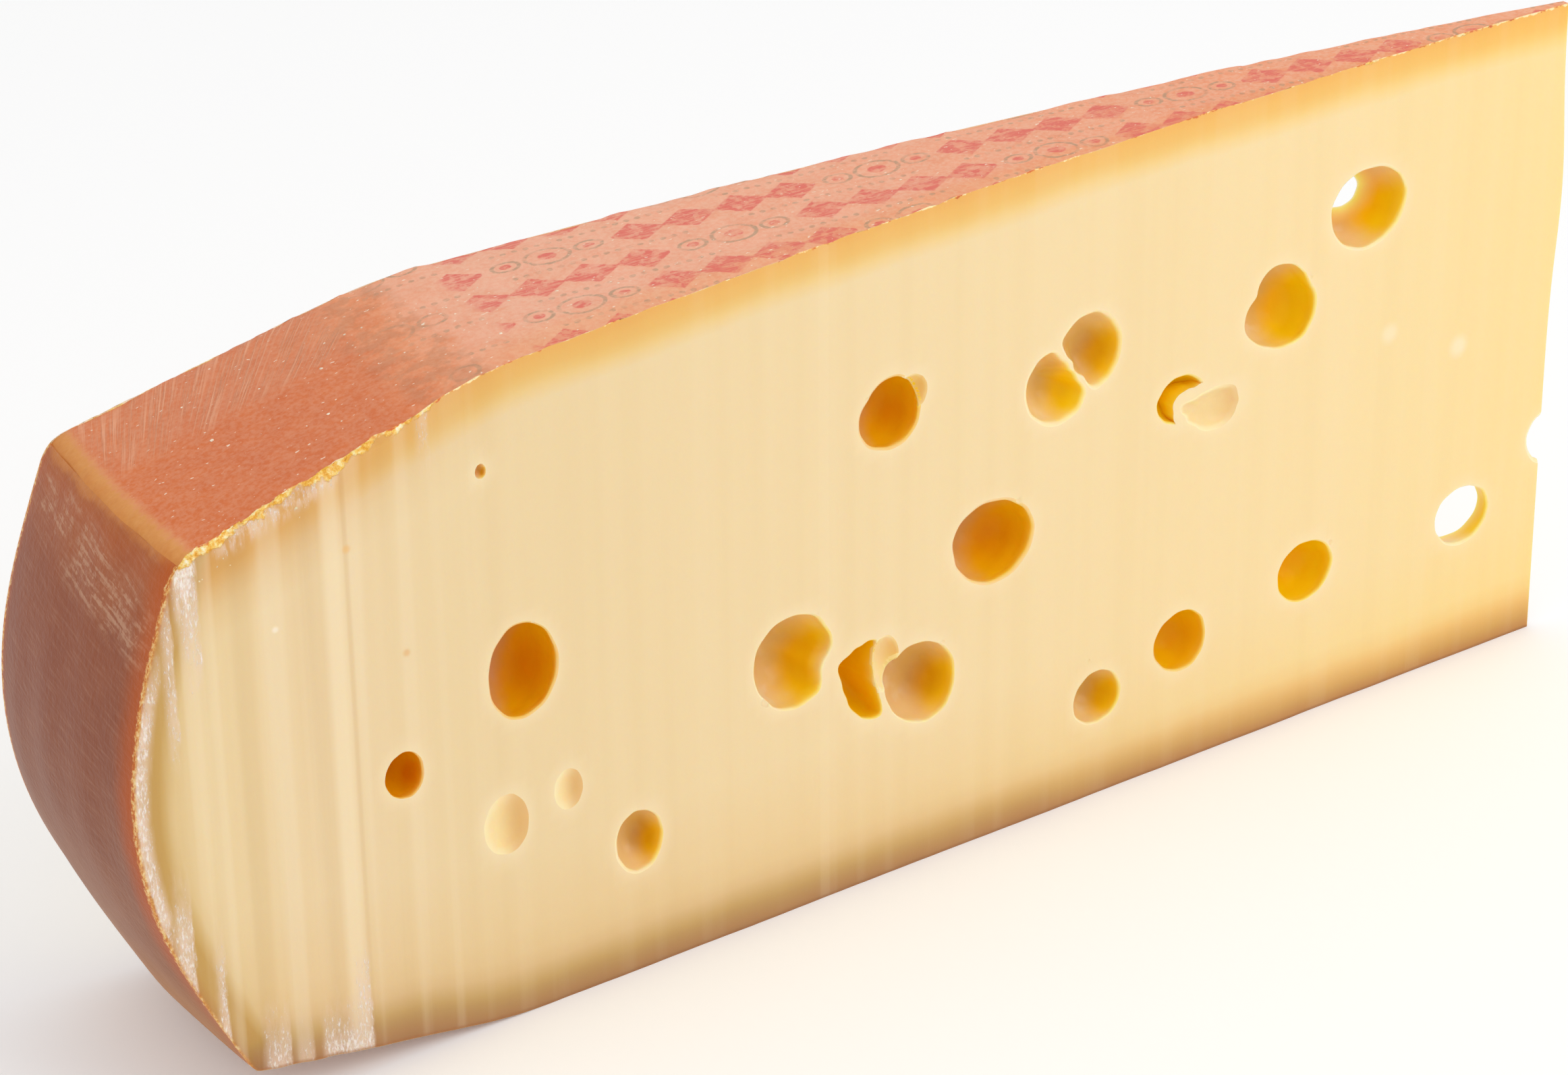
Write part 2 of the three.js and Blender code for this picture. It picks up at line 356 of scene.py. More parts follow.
CREAM = (247, 222, 176)

# What describe_surface gives each point of the body, and each point of an eye
FACE_VALUES = ("under_top", "over_base", "from_rim", "near_eye")
EYE_VALUES = ("eye_depth", "eye_tone", "eye_painted_shade", "eye_shade_core", "eye_middle", "thin")

# The print on the top rind, in millimetres
ROW = 15.5                 # spacing of its rows
CELL = 90.0                # a row repeats after this length
ROW_SHIFT = 43.0           # each row is moved on by this much from the one before
DIAMOND_STEP = 14.0
CHAIN_REACH = 28.0         # diamonds reach this far from the middle of a cell
RINGS = ((45, 4.8), (34, 3.0))                 # distance from the middle of a cell, and radius
DOT_STEP = 3.0
DOT_GAP_STEP = 61.0
PRINT_REACH = 345.0        # the print ends this far from the axis

# Whitish crumbly strips of the cut: from and to a distance from the axis at the underside, from and to a
# height, and how thick they are from 0 to 1
CRUST_STRIPS = [
    (400.4, 413.0, 0, 7, 1.0), (400.4, 403.6, 7, 20, 0.8), (416.6, 419.6, 0, 6, 0.7),
    (422.4, 428.4, 0, 12, 0.9), (438.0, 439.6, 18, 38, 0.9), (445.6, 449.2, 34, 54, 0.9),
    (445.0, 446.8, 112, 132, 0.7), (437.8, 441.6, 132, 146, 0.8), (438.2, 443.0, 146, 152, 1.2),
    (377.0, 379.5, 168, 174, 0.5),
]
# The same for the strip that follows the rim, by its distance from it
RIM_STRIPS = [(0.9, 3.2, 64, 112, 1.0)]
# Small soft marks of the front cut: distance from the axis, height, size and colour
MARKS = [
    (73.3, 109.1, 4.2, (250, 232, 196)), (46.7, 98.4, 4.6, (250, 234, 202)),
    (397.2, 140.1, 1.6, (236, 186, 112)), (383.6, 109.2, 1.5, (226, 178, 112)),
    (416.7, 125.5, 1.2, (252, 240, 220)),
]


def stain(*screen):
    """What the cream of the paste is multiplied by to give this colour."""
    return tuple(min(a / b, 1.0) for a, b in zip(paint(*screen), paint(*CREAM)))


def new_material(name, roughness, specular, subsurface=0.0, depth=0.0, radii=(1.0, 0.62, 0.22)):
    """A Principled material, translucent over depth millimetres by the subsurface share."""
    material = bpy.data.materials.new(name)
    material.use_nodes = True
    shader = material.node_tree.nodes["Principled BSDF"]
    shader.inputs["Roughness"].default_value = roughness
    shader.inputs["Specular IOR Level"].default_value = specular
    if subsurface:
        shader.inputs["Subsurface Weight"].default_value = subsurface
        shader.inputs["Subsurface Radius"].default_value = radii
        shader.inputs["Subsurface Scale"].default_value = depth * MM
    return material, material.node_tree, shader


def strips(across, height, places):
    """How thick the crust is in upright strips: crisp on the side of the axis and soft on all others."""
    masks = []
    for near_side, far_side, low, high, thick in places:
        near_edge = fade(across, near_side - 0.5, near_side + 0.3, 0.0, thick)
        far_edge = fall(across, far_side - 0.6, far_side + 2.0)
        masks.append(near_edge * far_edge * band(height, low, high, 20))
    return greatest(*masks)


def paste_stains(radius, under_top, over_base, from_rim, wavy):
    """The paste's darker zones: under the top rind, over the underside and inside the rim."""
    top = ramp(under_top + wavy, 30, [
        (0, 240, 181, 98), (3, 243, 191, 106), (5.5, 244, 196, 113), (7.5, 245, 204, 127),
        (9.5, 247, 213, 147), (13, *CREAM),
    ], stain)
    top_by_rim = ramp(under_top + wavy, 30, [
        (0, 230, 174, 98), (5, 229, 174, 98), (8, 231, 180, 108), (10, 234, 188, 122),
        (12.5, 237, 198, 140), (17, 242, 211, 160), (25, *CREAM),
    ], stain)
    top = mix(fade(radius, 335, 430), top, top_by_rim)
    base = ramp(over_base + wavy, 50, [
        (0, 178, 132, 87), (2, 188, 141, 92), (4, 193, 150, 96), (6, 200, 160, 101), (8, 210, 172, 110),
        (10, 220, 184, 126), (13, 233, 199, 146), (17, 240, 209, 157), (24, 244, 215, 165), (45, *CREAM),
    ], stain)
    base_by_tip = ramp(over_base + wavy, 50, [
        (0, 192, 136, 84), (2, 200, 149, 92), (4, 210, 163, 99), (6, 221, 175, 109), (8, 230, 186, 120),
        (10, 238, 197, 132), (13, 244, 211, 150), (18, 247, 220, 165), (40, *CREAM),
    ], stain)
    base = mix(fall(radius, 60, 300), base, base_by_tip)
    rim = ramp(wavy * 0.7 + from_rim, 30, [
        (0, 190, 134, 74), (1.5, 203, 156, 90), (3.5, 210, 168, 98), (6.5, 212, 171, 100),
        (8.5, 225, 190, 129), (10.5, 238, 209, 158), (13, 243, 216, 169), (19, *CREAM),
    ], stain)
    stains = mix(1.0, top, base, "DARKEN")
    return mix(0.35, mix(1.0, stains, rim, "DARKEN"), mix(1.0, stains, rim, "MULTIPLY"))


def make_paste():
    """Cut paste: cream inside, stained by the rind, with knife marks and crumbly crust by the rim."""
    material, tree, shader = new_material("paste", 0.42, 0.3, subsurface=0.35, depth=4.0)
    place, radius, _, height = use(tree, "wheel_place")
    under_top, over_base, from_rim, near_eye = attributes(tree, *FACE_VALUES)
    wavy = noise(place, 26, 1.0) * 3.0 - 1.5
    colour = ramp(radius, 450, [
        (0, 247, 218, 150), (90, 245, 218, 163), (240, 239, 214, 166), (370, 233, 208, 161),
        (408, 233, 207, 163), (445, 231, 205, 154),
    ])
    colour = mix(1.0, colour, paste_stains(radius, under_top, over_base, from_rim, wavy), "MULTIPLY")
    # paler round each eye: painted glow of light through the thin lip
    colour = mix(near_eye * 0.34, colour, (248, 230, 192))

    # upright streaks where the knife pressed, most of all by the rim
    upright = height * LEAN + radius
    broad = noise(pair(upright / 9.0, height / 500.0), 1.0, 1.0)
    streaks = noise(pair(upright / 2.6, height / 260.0), 1.0, 2.0)
    both = broad * 0.88 + streaks * 0.16
    strength = fade(radius, 350, 406, 0.06, 0.3)
    colour = tint(fade(both, 0.52, 0.68) * strength, colour, stain(229, 197, 140))
    colour = mix(fall(both, 0.4, 0.52) * strength * 0.8, colour, (248, 231, 198))
    # painted shadow along the deepest knife groove
    knife_line_shadow = band(upright, 400.0, 400.3, 0.9) * fade(height, 20, 90, 0.16, 0.28)
    colour = tint(knife_line_shadow, colour, stain(222, 184, 124))
    colour = mix(band(upright, 402.8, 404.8, 2.6) * 0.42, colour, (248, 230, 194))
    colour = mix(band(upright, 264.8, 267.0, 0.8) * 0.07, colour, (250, 232, 196))
    for away, up, size, shade in MARKS:
        mark = fall(length(radius - away, height - up), 0.2 * size, size, 0.6)
        colour = mix(mark, colour, shade)

    # crumbly crust in upright strips and under the lip: a thin pale veil with whitish flakes in it
    flakes = noise(stretched(place, 0.55, 0.55, 1.7), 1.0, 4.0, 0.66)
    ragged = noise(stretched(place, 1.6, 1.6, 6), 1.0, 3.0, 0.6)
    aside = ragged * 2.0 - 1.0
    upwards = aside * 12.0 + height
    under_lip = band(radius, 402, 426, 7) * band(under_top, 0, 3.5, 4.5)
    crust = greatest(
        strips(upright + aside, upwards, CRUST_STRIPS), strips(from_rim + aside, upwards, RIM_STRIPS),
        under_lip * fade(ragged, 0.36, 0.6, 0.15, 0.75),
    )
    colour = mix(crust * fade(ragged, 0.34, 0.62, 0.5, 0.82), colour, (235, 209, 186))
    level = crust * -0.22 + 0.64
    crust = fade(flakes, level, level + 0.2) * fade(crust, 0.02, 0.3)
    colour = mix(crust * 0.78, colour, (253, 244, 236))

    # broken lip along the top edge: golden and crumbly by the rim, a thin flaky line elsewhere
    crumb = noise(place, 1.7, 4.0, 0.68)
    lip_height = noise(place, 6.0, 4.0, 0.62) * 7.6 + fade(radius, 348, 404, -4.2, -1.6)
    lip = fade(lip_height - under_top, -0.3, 0.4)
    colour = mix(lip, colour, ramp(crumb, 1.0, [
        (0.3, 200, 132, 38), (0.4, 233, 171, 62), (0.5, 246, 201, 106), (0.58, 251, 225, 158),
        (0.66, 254, 241, 210),
    ]))
    line = fade(noise(place, 2.0, 3.0) * 2.0 - 0.4 - under_top, -0.12, 0.12)
    colour = mix(line, colour, ramp(noise(place, 2.4, 3.0), 1.0, [
        (0.4, 214, 112, 62), (0.47, 240, 180, 96), (0.55, 252, 226, 172),
    ]))
    colour = mix(fall(from_rim, 0.3, 1.5) * 0.8, colour, ramp(crumb, 1.0, [
        (0.42, 190, 112, 50), (0.54, 222, 168, 92), (0.62, 242, 214, 160),
    ]))
    colour = mix(fall(over_base, 0.1, 1.2) * 0.7, colour, (158, 102, 62))

    feed(shader.inputs["Roughness"], greatest(crust, lip) * 0.35 + 0.4)
    chatter = noise(stretched(place, 1.3, 1.3, 60), 1.0, 3.0)
    fine = noise(place, 0.9, 2.0)
    finish(shader, colour, (chatter, 0.05), (fine, 0.05), (crust * flakes, 0.16), (lip * crumb, 0.5))
    return material


def make_lining():
    """Eye linings, glossy: painted light and shade, pale glow at the lip, lit tan and shaded amber."""
    material, tree, shader = new_material("eye_lining", 0.34, 0.08, 0.65, 5.0, (1.0, 0.6, 0.2))
    shader.inputs["Coat Roughness"].default_value = 0.3
    place = use(tree, "wheel_place")[0]
    depth, tone, amber, shade_core, middle, thin = attributes(tree, *EYE_VALUES)
    wave = noise(place, 5, 2.0) * 2.0 - 1.0
    inside = wave * depth.calc("MINIMUM", 1.0) + depth
    # painted light and shade: a lit tan copy and a shaded amber copy, both paler at the lip as a painted
    # glow
    lit = ramp(inside, 14, [
        (0, 250, 231, 190), (0.8, 250, 221, 160), (2, 249, 215, 147), (5, 247, 211, 147),
        (9, 242, 203, 142), (14, 232, 190, 132),
    ])
    shaded = ramp(inside, 14, [
        (0, 251, 228, 174), (0.5, 251, 216, 110), (1.4, 252, 211, 50), (3.5, 252, 207, 15),
        (8, 250, 199, 4), (14, 245, 185, 2),
    ])
    # pale cloudy patches on the lit side: painted sheen
    clouds = fade(noise(place, 6, 2.0), 0.54, 0.68, 0.0, 0.4)
    lit = mix(clouds, lit, (246, 226, 190))
    # painted shade: darker brown in the deep middle of the lit side
    shade_core = fall(wave * 0.12 + shade_core, 0.25, 0.95) * fade(depth, 0.8, 3.5)
    lit = mix(shade_core, lit, (225, 178, 84))
    # painted shade: amber where the light doesn't come straight in through the opening
    shade = fade(wave * 0.12 + amber, -0.42, 0.32)
    colour = mix(shade, lit, shaded)

    # painted shade in the deepest part: brown in a tan eye, and dark amber in an amber one
    middle = fall(wave * 0.08 + middle, 0.15, 0.9)
    brown = band(tone, 0.2, 0.3, 0.2) * fall(amber, 0.65, 1.0)
    colour = tint(brown * middle, colour, (230, 209, 204))
    dark = tone.calc("MAXIMUM", 0.0).calc("POWER", 1.7)
    colour = tint(dark * (middle * 0.36 + 0.4), colour, (230, 147, 90))

    # shallow dishes are pale with painted shade on one side, and thin walls are pale with a painted glow of
    # light through them
    dish = ramp(inside, 8, [(0, 250, 230, 184), (1, 249, 221, 163), (6, 245, 210, 144)])
    dish = mix(fade(amber, -0.4, 0.6, 0.0, 0.75), dish, (220, 171, 104))
    colour = mix((tone * -1.0).calc("MAXIMUM", 0.0), colour, dish)
    colour = mix(thin, colour, ramp(depth, 8, [(0.5, 251, 234, 200), (4, 252, 220, 136)]))
    feed(shader.inputs["Coat Weight"], fall(shade, 0.0, 1.0, 0.5) * fade(depth, 0.5, 2.5))
    finish(shader, colour, (noise(place, 3.0, 2.0), 0.2), (noise(place, 0.7, 1.0), 0.02))
    return material


def print_masks(place):
    """Worn stamp on the rind: chains of red diamonds, and green-grey rings and rows of dots."""
    inputs = {"Vector": place, "Angle": math.radians(4)}
    turned = put(place.tree, "ShaderNodeVectorRotate", inputs, rotation_type="Z_AXIS")
    nudge = noise(place, 2.0, 2.0) * 0.9 - 0.45
    along, across = [part + nudge for part in split(turned)[:2]]
    in_row = repeated(across, ROW)
    in_cell = repeated((across / ROW).calc("FLOOR") * ROW_SHIFT + along, CELL)
    from_middle = abs(in_cell)
    diamond = abs(repeated(in_cell, DIAMOND_STEP)) / 7.9 + abs(in_row) / 6.3
    reds = fall(diamond, 0.9, 1.0) * fall(from_middle, CHAIN_REACH - 0.4, CHAIN_REACH)
    from_line = repeated(across + ROW / 2, ROW)
    dots = fall(length(repeated(along, DOT_STEP), from_line), 0.6, 0.95)
    greens = dots * fade(abs(repeated(along, DOT_GAP_STEP)), 6, 7) * 0.8
    for away, size in RINGS:
        from_ring = length((from_middle - away) * 0.8, in_row)
        greens = greatest(greens, band(from_ring, size - 0.5, size, 0.35))
        reds = greatest(reds, fall(from_ring, 0.36 * size, 0.46 * size))
    scratches = noise(stretched(turned, 5, 0.9, 5), 1.0, 3.0, 0.65)
    worn = fade(mottle(place, 3.2, 0.5), 0.1, 0.6, 0.4, 1.0) * fade(scratches, 0.4, 0.54, 0.5, 1.0)
    return reds * worn, greens * worn


def brush_lines(place):
    """Fine lines left by a turning brush: they fan out, steeper by the rim."""
    along, across, _ = split(place)
    back = across - 22.0
    fine = pair((back * -3.82 + along) / (back * 0.008 + 1.0), back / 50.0)
    lines = fade(noise(fine, 0.85, 3.0, 0.7), 0.46, 0.62)
    return lines * fade(noise(stretched(fine, 6, 0.6, 1), 1.0, 2.0), 0.36, 0.56, 0.4, 1.0)


def make_top_rind():
    """Top rind: brushed orange by the rim, paler and printed further in, worn to tan on its edge."""
    material, tree, shader = new_material("top_rind", 0.55, 0.18)
    place, radius, angle, _ = use(tree, "wheel_place")
    drift = noise(place, 14, 4.0, 0.6) * 26.0 - 13.0
    colour = ramp(radius + drift, 445, [
        (0, 245, 162, 118), (120, 244, 160, 120), (240, 244, 170, 137), (336, 244, 176, 146),
        (352, 243, 170, 136), (364, 235, 150, 104), (378, 221, 123, 73), (410, 217, 117, 67),
        (434, 220, 119, 63),
    ])
    blots = mottle(place, 7.0, 0.25) * 0.5
    colour = tint(blots, colour, (242, 222, 206))
    colour = mix(mottle(place, 1.3, 0.4) * fade(radius, 340, 365, 0.34, 0.16), colour, (246, 206, 176))
    # warmer along the front edge
    edge_warmth = fall(angle + drift * 0.08, -4.6, -2.6, 0.5) * fall(radius, 345, 365)
    colour = tint(edge_warmth, colour, (250, 236, 200))

    brushed = band(radius, 376, 430, 8) * fade(angle + drift * 0.05, 0.2, 1.6)
    lines = brush_lines(place) * brushed
    colour = mix(brushed * 0.14, colour, (238, 168, 132))
    colour = mix(lines * 0.6, colour, (242, 178, 140))

    reds, greens = print_masks(place)
    printed = fall(radius + drift * 0.2, PRINT_REACH - 4, PRINT_REACH)
    colour = mix(reds * printed * 0.85, colour, (226, 102, 90))
    colour = mix(greens * fall(radius, 350, 374, 0.6), colour, (150, 138, 110))
    colour = mix(mottle(place, 5.0, 0.9) * band(radius, 358, 372, 5) * 0.28, colour, (172, 124, 92))

    # pale dust specks, and the tan where the outer edge is worn
    specks = fade(noise(stretched(place, 1.6, 0.9, 1.2), 1.0, 1.0), 0.73, 0.77)
    colour = mix(specks * 0.8, colour, (252, 232, 208))
    outwards = radius + (noise(stretched(place, 1.5, 1.5, 2.0), 1.0, 4.0, 0.65) * 4.0 - 2.0)
    worn_edge = ramp(outwards - 430.0, 10, [
        (3, 230, 154, 112), (5, 230, 160, 108), (6.5, 225, 157, 88), (9, 214, 141, 70),
    ])
    colour = mix(fade(outwards, 433.0, 436.4), colour, tint(blots, worn_edge, (244, 218, 190)))
    finish(shader, colour, (lines, 0.12), (mottle(place, 1.2, 0.25), 0.05), (noise(place, 7.0, 3.0), 0.6))
    return material


def make_rim_rind():
    """Rind round the rim: reddish brown and satin, golden at the worn top edge, scuffed below it."""
    material, tree, shader = new_material("rim_rind", 0.42, 0.16)
    place, _, angle, height = use(tree, "wheel_place")
    below = RIM_TOP - height
    along = angle * RIM_ARC
    slow = noise(place, 9, 3.0) * 5.0 - 2.5
    colour = ramp(below + slow, 150, [
        (0, 208, 136, 70), (1.6, 200, 124, 62), (3, 176, 96, 46), (5, 174, 90, 40), (12, 163, 85, 40),
        (24, 146, 77, 43), (48, 141, 77, 48), (80, 141, 83, 54), (110, 154, 98, 62), (132, 184, 126, 74),
        (146, 194, 135, 76),
    ])
    colour = tint(mottle(place, 12.0, 0.25) * 0.4, colour, (236, 218, 206))

    # whitish scuffs that run along the rim below the worn edge, and a fine grain that runs the same way
    slope = along * 0.14 + below
    dusty = noise(place, 1.6, 4.0, 0.7)
    scuffs = noise(pair(along / 18.0, slope / 1.3), 1.0, 3.0, 0.6)
    scuffs = fade(dusty * 0.7 + scuffs, 0.8, 1.0)
    patches = fade(noise(place, 10, 2.0), 0.4, 0.56, 0.15, 1.0)
    by_edge = band(slope, 9, 19, 6) * (patches * fade(below, 3, 6))
    for share in (scuffs * by_edge * 0.52, by_edge * 0.07):
        colour = mix(share, colour, (204, 160, 128))
    hair = noise(pair(along / 12.0, slope / 0.7), 1.0, 3.0, 0.65)
    colour = mix(fade(hair, 0.48, 0.72, 0.0, 0.2), colour, (196, 146, 116))
    colour = tint(fall(hair, 0.3, 0.46, 0.2), colour, (206, 190, 182))

    # orange where the cut lets light into the rind, and a pale flaky line on the edge itself
    half = math.degrees(HALF_ANGLE)
    to_front, to_back = (angle + half) * RIM_ARC, (half - angle) * RIM_ARC
    glow = greatest(fall(slow * 0.6 + to_front, 0.0, 12.0), fall(to_back, 0.0, 5.0, 0.6))
    colour = mix(glow * fade(height, 20, 60, 0.4, 0.85), colour, (188, 86, 16))
    edge = fall(dusty * -4.0 + to_front.calc("MINIMUM", to_back), -0.9, -0.2)
    colour = mix(edge * 0.85, colour, ramp(noise(place, 1.1, 3.0, 0.65), 1.0, [
        (0.42, 198, 104, 36), (0.5, 226, 160, 76), (0.6, 240, 204, 140),
    ]))
    finish(shader, colour, (hair, 0.07), (mottle(place, 2.0, 0.2), 0.12))
    return material


def make_underside():
    """Rind of the underside: dry brown with paler worn patches."""
    material, tree, shader = new_material("underside_rind", 0.6, 0.25)
    place = use(tree, "wheel_place")[0]
    fine = mottle(place, 2.0, 0.35)
    colour = mix(mottle(place, 16.0, 0.3), (178, 122, 84), (200, 146, 102))
    finish(shader, mix(fine * 0.3, colour, (150, 98, 66)), (fine, 0.15))
    return material


def make_plain(name, screen, roughness, subsurface=0.0):
    """A crumb or a fleck: one colour, a little lighter and darker over its surface."""
    material, tree, shader = new_material(name, roughness, 0.3, subsurface, 1.5)
    place = stretched(put(tree, "ShaderNodeTexCoord", output="Object"), MM, MM, MM)
    lightest = paint(*screen)
    darkest = tuple(value * 0.78 for value in lightest[:3]) + (1.0,)
    finish(shader, mix(fade(noise(place, 1.0, 1.0), 0.3, 0.7), darkest, lightest))
    return material


# --- The wheel's form ----------------------------------------------------------------------------


def near(distance, reach):
    """1 at distance 0, falling evenly to 0 at reach."""
    return np.clip(1 - distance / reach, 0, 1)


def knee_rise(past):
    """A straight run of zero that turns into a slope of one over a short rounded knee."""
    curved = (past + KNEE) ** 2 / (4 * KNEE)
    return np.where(past <= -KNEE, 0.0, np.where(past >= KNEE, past, curved))


def top_height(radius):
    dome = DOME_DROP * (radius / WHEEL_RADIUS) ** 2
    return CENTRE_HEIGHT - dome - SHOULDER_SLOPE * knee_rise(radius - SHOULDER_RADIUS)


def base_height(radius):
    return BASE_SLOPE * knee_rise(np.minimum(radius, BASE_CORNER_RADIUS) - BASE_RADIUS)


TOP_CORNER = np.array([WHEEL_RADIUS, float(top_height(WHEEL_RADIUS))])
BASE_CORNER_HEIGHT = float(base_height(BASE_CORNER_RADIUS))
RIM_LENGTH = TOP_CORNER[1] - BASE_CORNER_HEIGHT


def rim_bulge(share, swell):
    """How far the rim stands out of the straight line between its corners."""
    arch = np.sin(np.pi * share)
    return RIM_BULGE * arch + 0.4 * swell * arch * (1 - share)


def rim_point(share, swell):
    """A point of the rim's outline: share runs from the underside, 0, to the top, 1."""
    low = BASE_CORNER_RADIUS + swell
    radius = low + (WHEEL_RADIUS - low) * share + rim_bulge(share, swell)
    return np.stack([radius, BASE_CORNER_HEIGHT + RIM_LENGTH * share], -1)


def worn_corner(corner, size, outline, column, share, end, swell):
    """How far a point moves where a corner of the rim is worn round over size millimetres of each side. end
    is the corner's share of the rim's height, and outline the rind that runs up to it."""
    def curve(part):
        part = part[..., None]
        return (1 - part) ** 2 * before + 2 * part * (1 - part) * corner + part**2 * after

    def rim_at(away):
        return rim_point(np.abs(end - away / RIM_LENGTH), swell)

    start = corner[..., 0] - size
    flat = np.clip((column - start) / size, 0, 1)
    upright = near(np.abs(end - share) * RIM_LENGTH, size)
    before, after = np.stack([start, outline(start)], -1), rim_at(np.full_like(share, size))
    reached = start + size * flat
    flat_move = curve(flat / 2) - np.stack([reached, outline(reached)], -1)
    upright_move = curve(1 - upright / 2) - rim_at((1 - upright) * size)
    corner_move = curve(np.full_like(flat, 0.5)) - corner
    flat, upright = flat[..., None], upright[..., None]
    return flat_move * upright + upright_move * flat - corner_move * flat * upright


def section_point(column, share, turn):
    """(radius, height) of a point of the section: column is its radius at the top and share its height
    from the underside, 0, to the top, 1. turn is 0 at the front cut and 1 at the back cut."""
    swell = BACK_SWELL * np.sin(turn * np.pi / 2)
    rimward = np.clip((column - RIM_REACH) / (WHEEL_RADIUS - RIM_REACH), 0, 1) ** 2
    low_radius = column - (WHEEL_RADIUS - BASE_CORNER_RADIUS - swell) * rimward
    low, high = base_height(low_radius), top_height(column)
    height = low + (high - low) * share
    tipward = near(column - TIP_RADIUS, 18)
    belly = TIP_BELLY * np.exp(-(((height - TIP_BELLY_HEIGHT) / TIP_BELLY_SPREAD) ** 2))
    bulge = rimward * rim_bulge(share, swell) - tipward * belly
    radius = low_radius + (column - low_radius) * share + bulge
    point = np.stack([radius, height], -1)

    top_corner = np.broadcast_to(TOP_CORNER, point.shape)
    base_corner = np.stack([BASE_CORNER_RADIUS + swell, np.full_like(swell, BASE_CORNER_HEIGHT)], -1)
    point = point + worn_corner(top_corner, WORN_TOP, top_height, column, share, 1, swell)
    return point + worn_corner(base_corner, WORN_BASE, base_height, low_radius, share, 0, swell)


# --- Relief --------------------------------------------------------------------------------------


def ripple(places, wavelengths, seed):
    """Smooth uneven waves from 0 to 1 over places, given as rows of coordinates in millimetres."""
    random = np.random.default_rng(seed)
    total = np.zeros(len(places))
    for wavelength in np.repeat(wavelengths, 3):
        direction = random.normal(size=places.shape[1])
        direction /= np.linalg.norm(direction)
        per_wave = wavelength * random.uniform(0.8, 1.25)
        total += np.sin(places @ direction * (2 * np.pi / per_wave) + random.uniform(0, 2 * np.pi))
    return np.clip(0.5 + total / (2.6 * math.sqrt(3 * len(wavelengths))), 0, 1)


def uneven(along, step, seed):
    """Uneven values from 0 to 1 along an edge, a new one about every step."""
    random = np.random.default_rng(seed)
    marks = np.arange(-2 * step, 480 + 2 * step, step)
    marks = marks + random.uniform(-0.4, 0.4, len(marks)) * step
    return np.interp(along, marks, random.uniform(size=len(marks)))


def crumbled_lip(radius, under_top, seed):
    """How far the edge under the top rind has broken away, by the rim most of all."""
    by_rim = np.clip((radius - CRUMB_FROM) / 5, 0, 1) * np.clip((CRUMB_TO + 3 - radius) / 4, 0, 1)
    tall = np.where(by_rim > 0, 1.4 + 3.0 * uneven(radius, 3.1, seed), 1.3)
    deep = by_rim * (0.6 + 1.0 * uneven(radius, 1.9, seed + 1)) + 0.35 * uneven(radius, 2.6, seed + 2)
    crumbs = 1 + 0.5 * (ripple(np.stack([radius, under_top * 1.5], -1), (2.2, 3.4), seed + 3) - 0.5)
    return deep * near(under_top, tall) ** 0.8 * crumbs * np.clip(radius / 200, 0.1, 1)


def face_relief(radius, height, under_top, marks, seed):
    """Depth of the waves and knife marks of a cut face."""
    flat = np.stack([radius, height * 0.35], -1)
    depth = 0.28 * ripple(flat, (34, 62, 110), seed) + 0.05 * ripple(flat, (9, 14), seed + 1)
    by_rim = np.clip((radius - 340) / 60, 0, 1)
    depth += 0.16 * by_rim * (0.5 - 0.5 * np.cos(2 * np.pi * radius / 21))
    for centre, roundness, deep in marks:
        depth += np.maximum(0, deep - (radius + LEAN * height - centre) ** 2 / (2 * roundness))
    return depth * np.clip(under_top / 1.5, 0.3, 1) * np.clip((radius - 10) / 40, 0.1, 1)


# --- The body before the eyes are carved ---------------------------------------------------------

CUT, TOP, RIM, BASE, LINING = range(5)
FINISHES = []              # the five materials, in the order of the line above

COLUMNS = np.concatenate([
    np.linspace(TIP_RADIUS, 380, 150, endpoint=False),
    np.linspace(380, WHEEL_RADIUS, 70),
])
ROWS = np.concatenate([
    np.linspace(0, 6, 6, endpoint=False),
    np.linspace(6, 160, 50, endpoint=False),
    np.linspace(160, 170, 17),
]) / 170
EVEN_TURNS = np.linspace(0, 1, 27)
TURNS = 0.5 * EVEN_TURNS + 0.5 * (0.5 - 0.5 * np.cos(np.pi * EVEN_TURNS))


def new_piece(name, points, faces, kinds):
    """A mesh object from points in metres, with one of the finishes on each face."""
    mesh = bpy.data.meshes.new(name)
    mesh.from_pydata(points, [], faces)
    for material in FINISHES:
        mesh.materials.append(material)
    mesh.polygons.foreach_set("material_index", kinds.astype(np.int32))
    return place_in_scene(name, mesh)


def face_axes(side):
    """Outwards along a cut face and straight out of it: side is -1 in front and 1 behind."""
    outwards = np.array([-math.cos(HALF_ANGLE), side * math.sin(HALF_ANGLE), 0.0])
    normal = np.array([math.sin(HALF_ANGLE), side * math.cos(HALF_ANGLE), 0.0])
    return outwards, normal


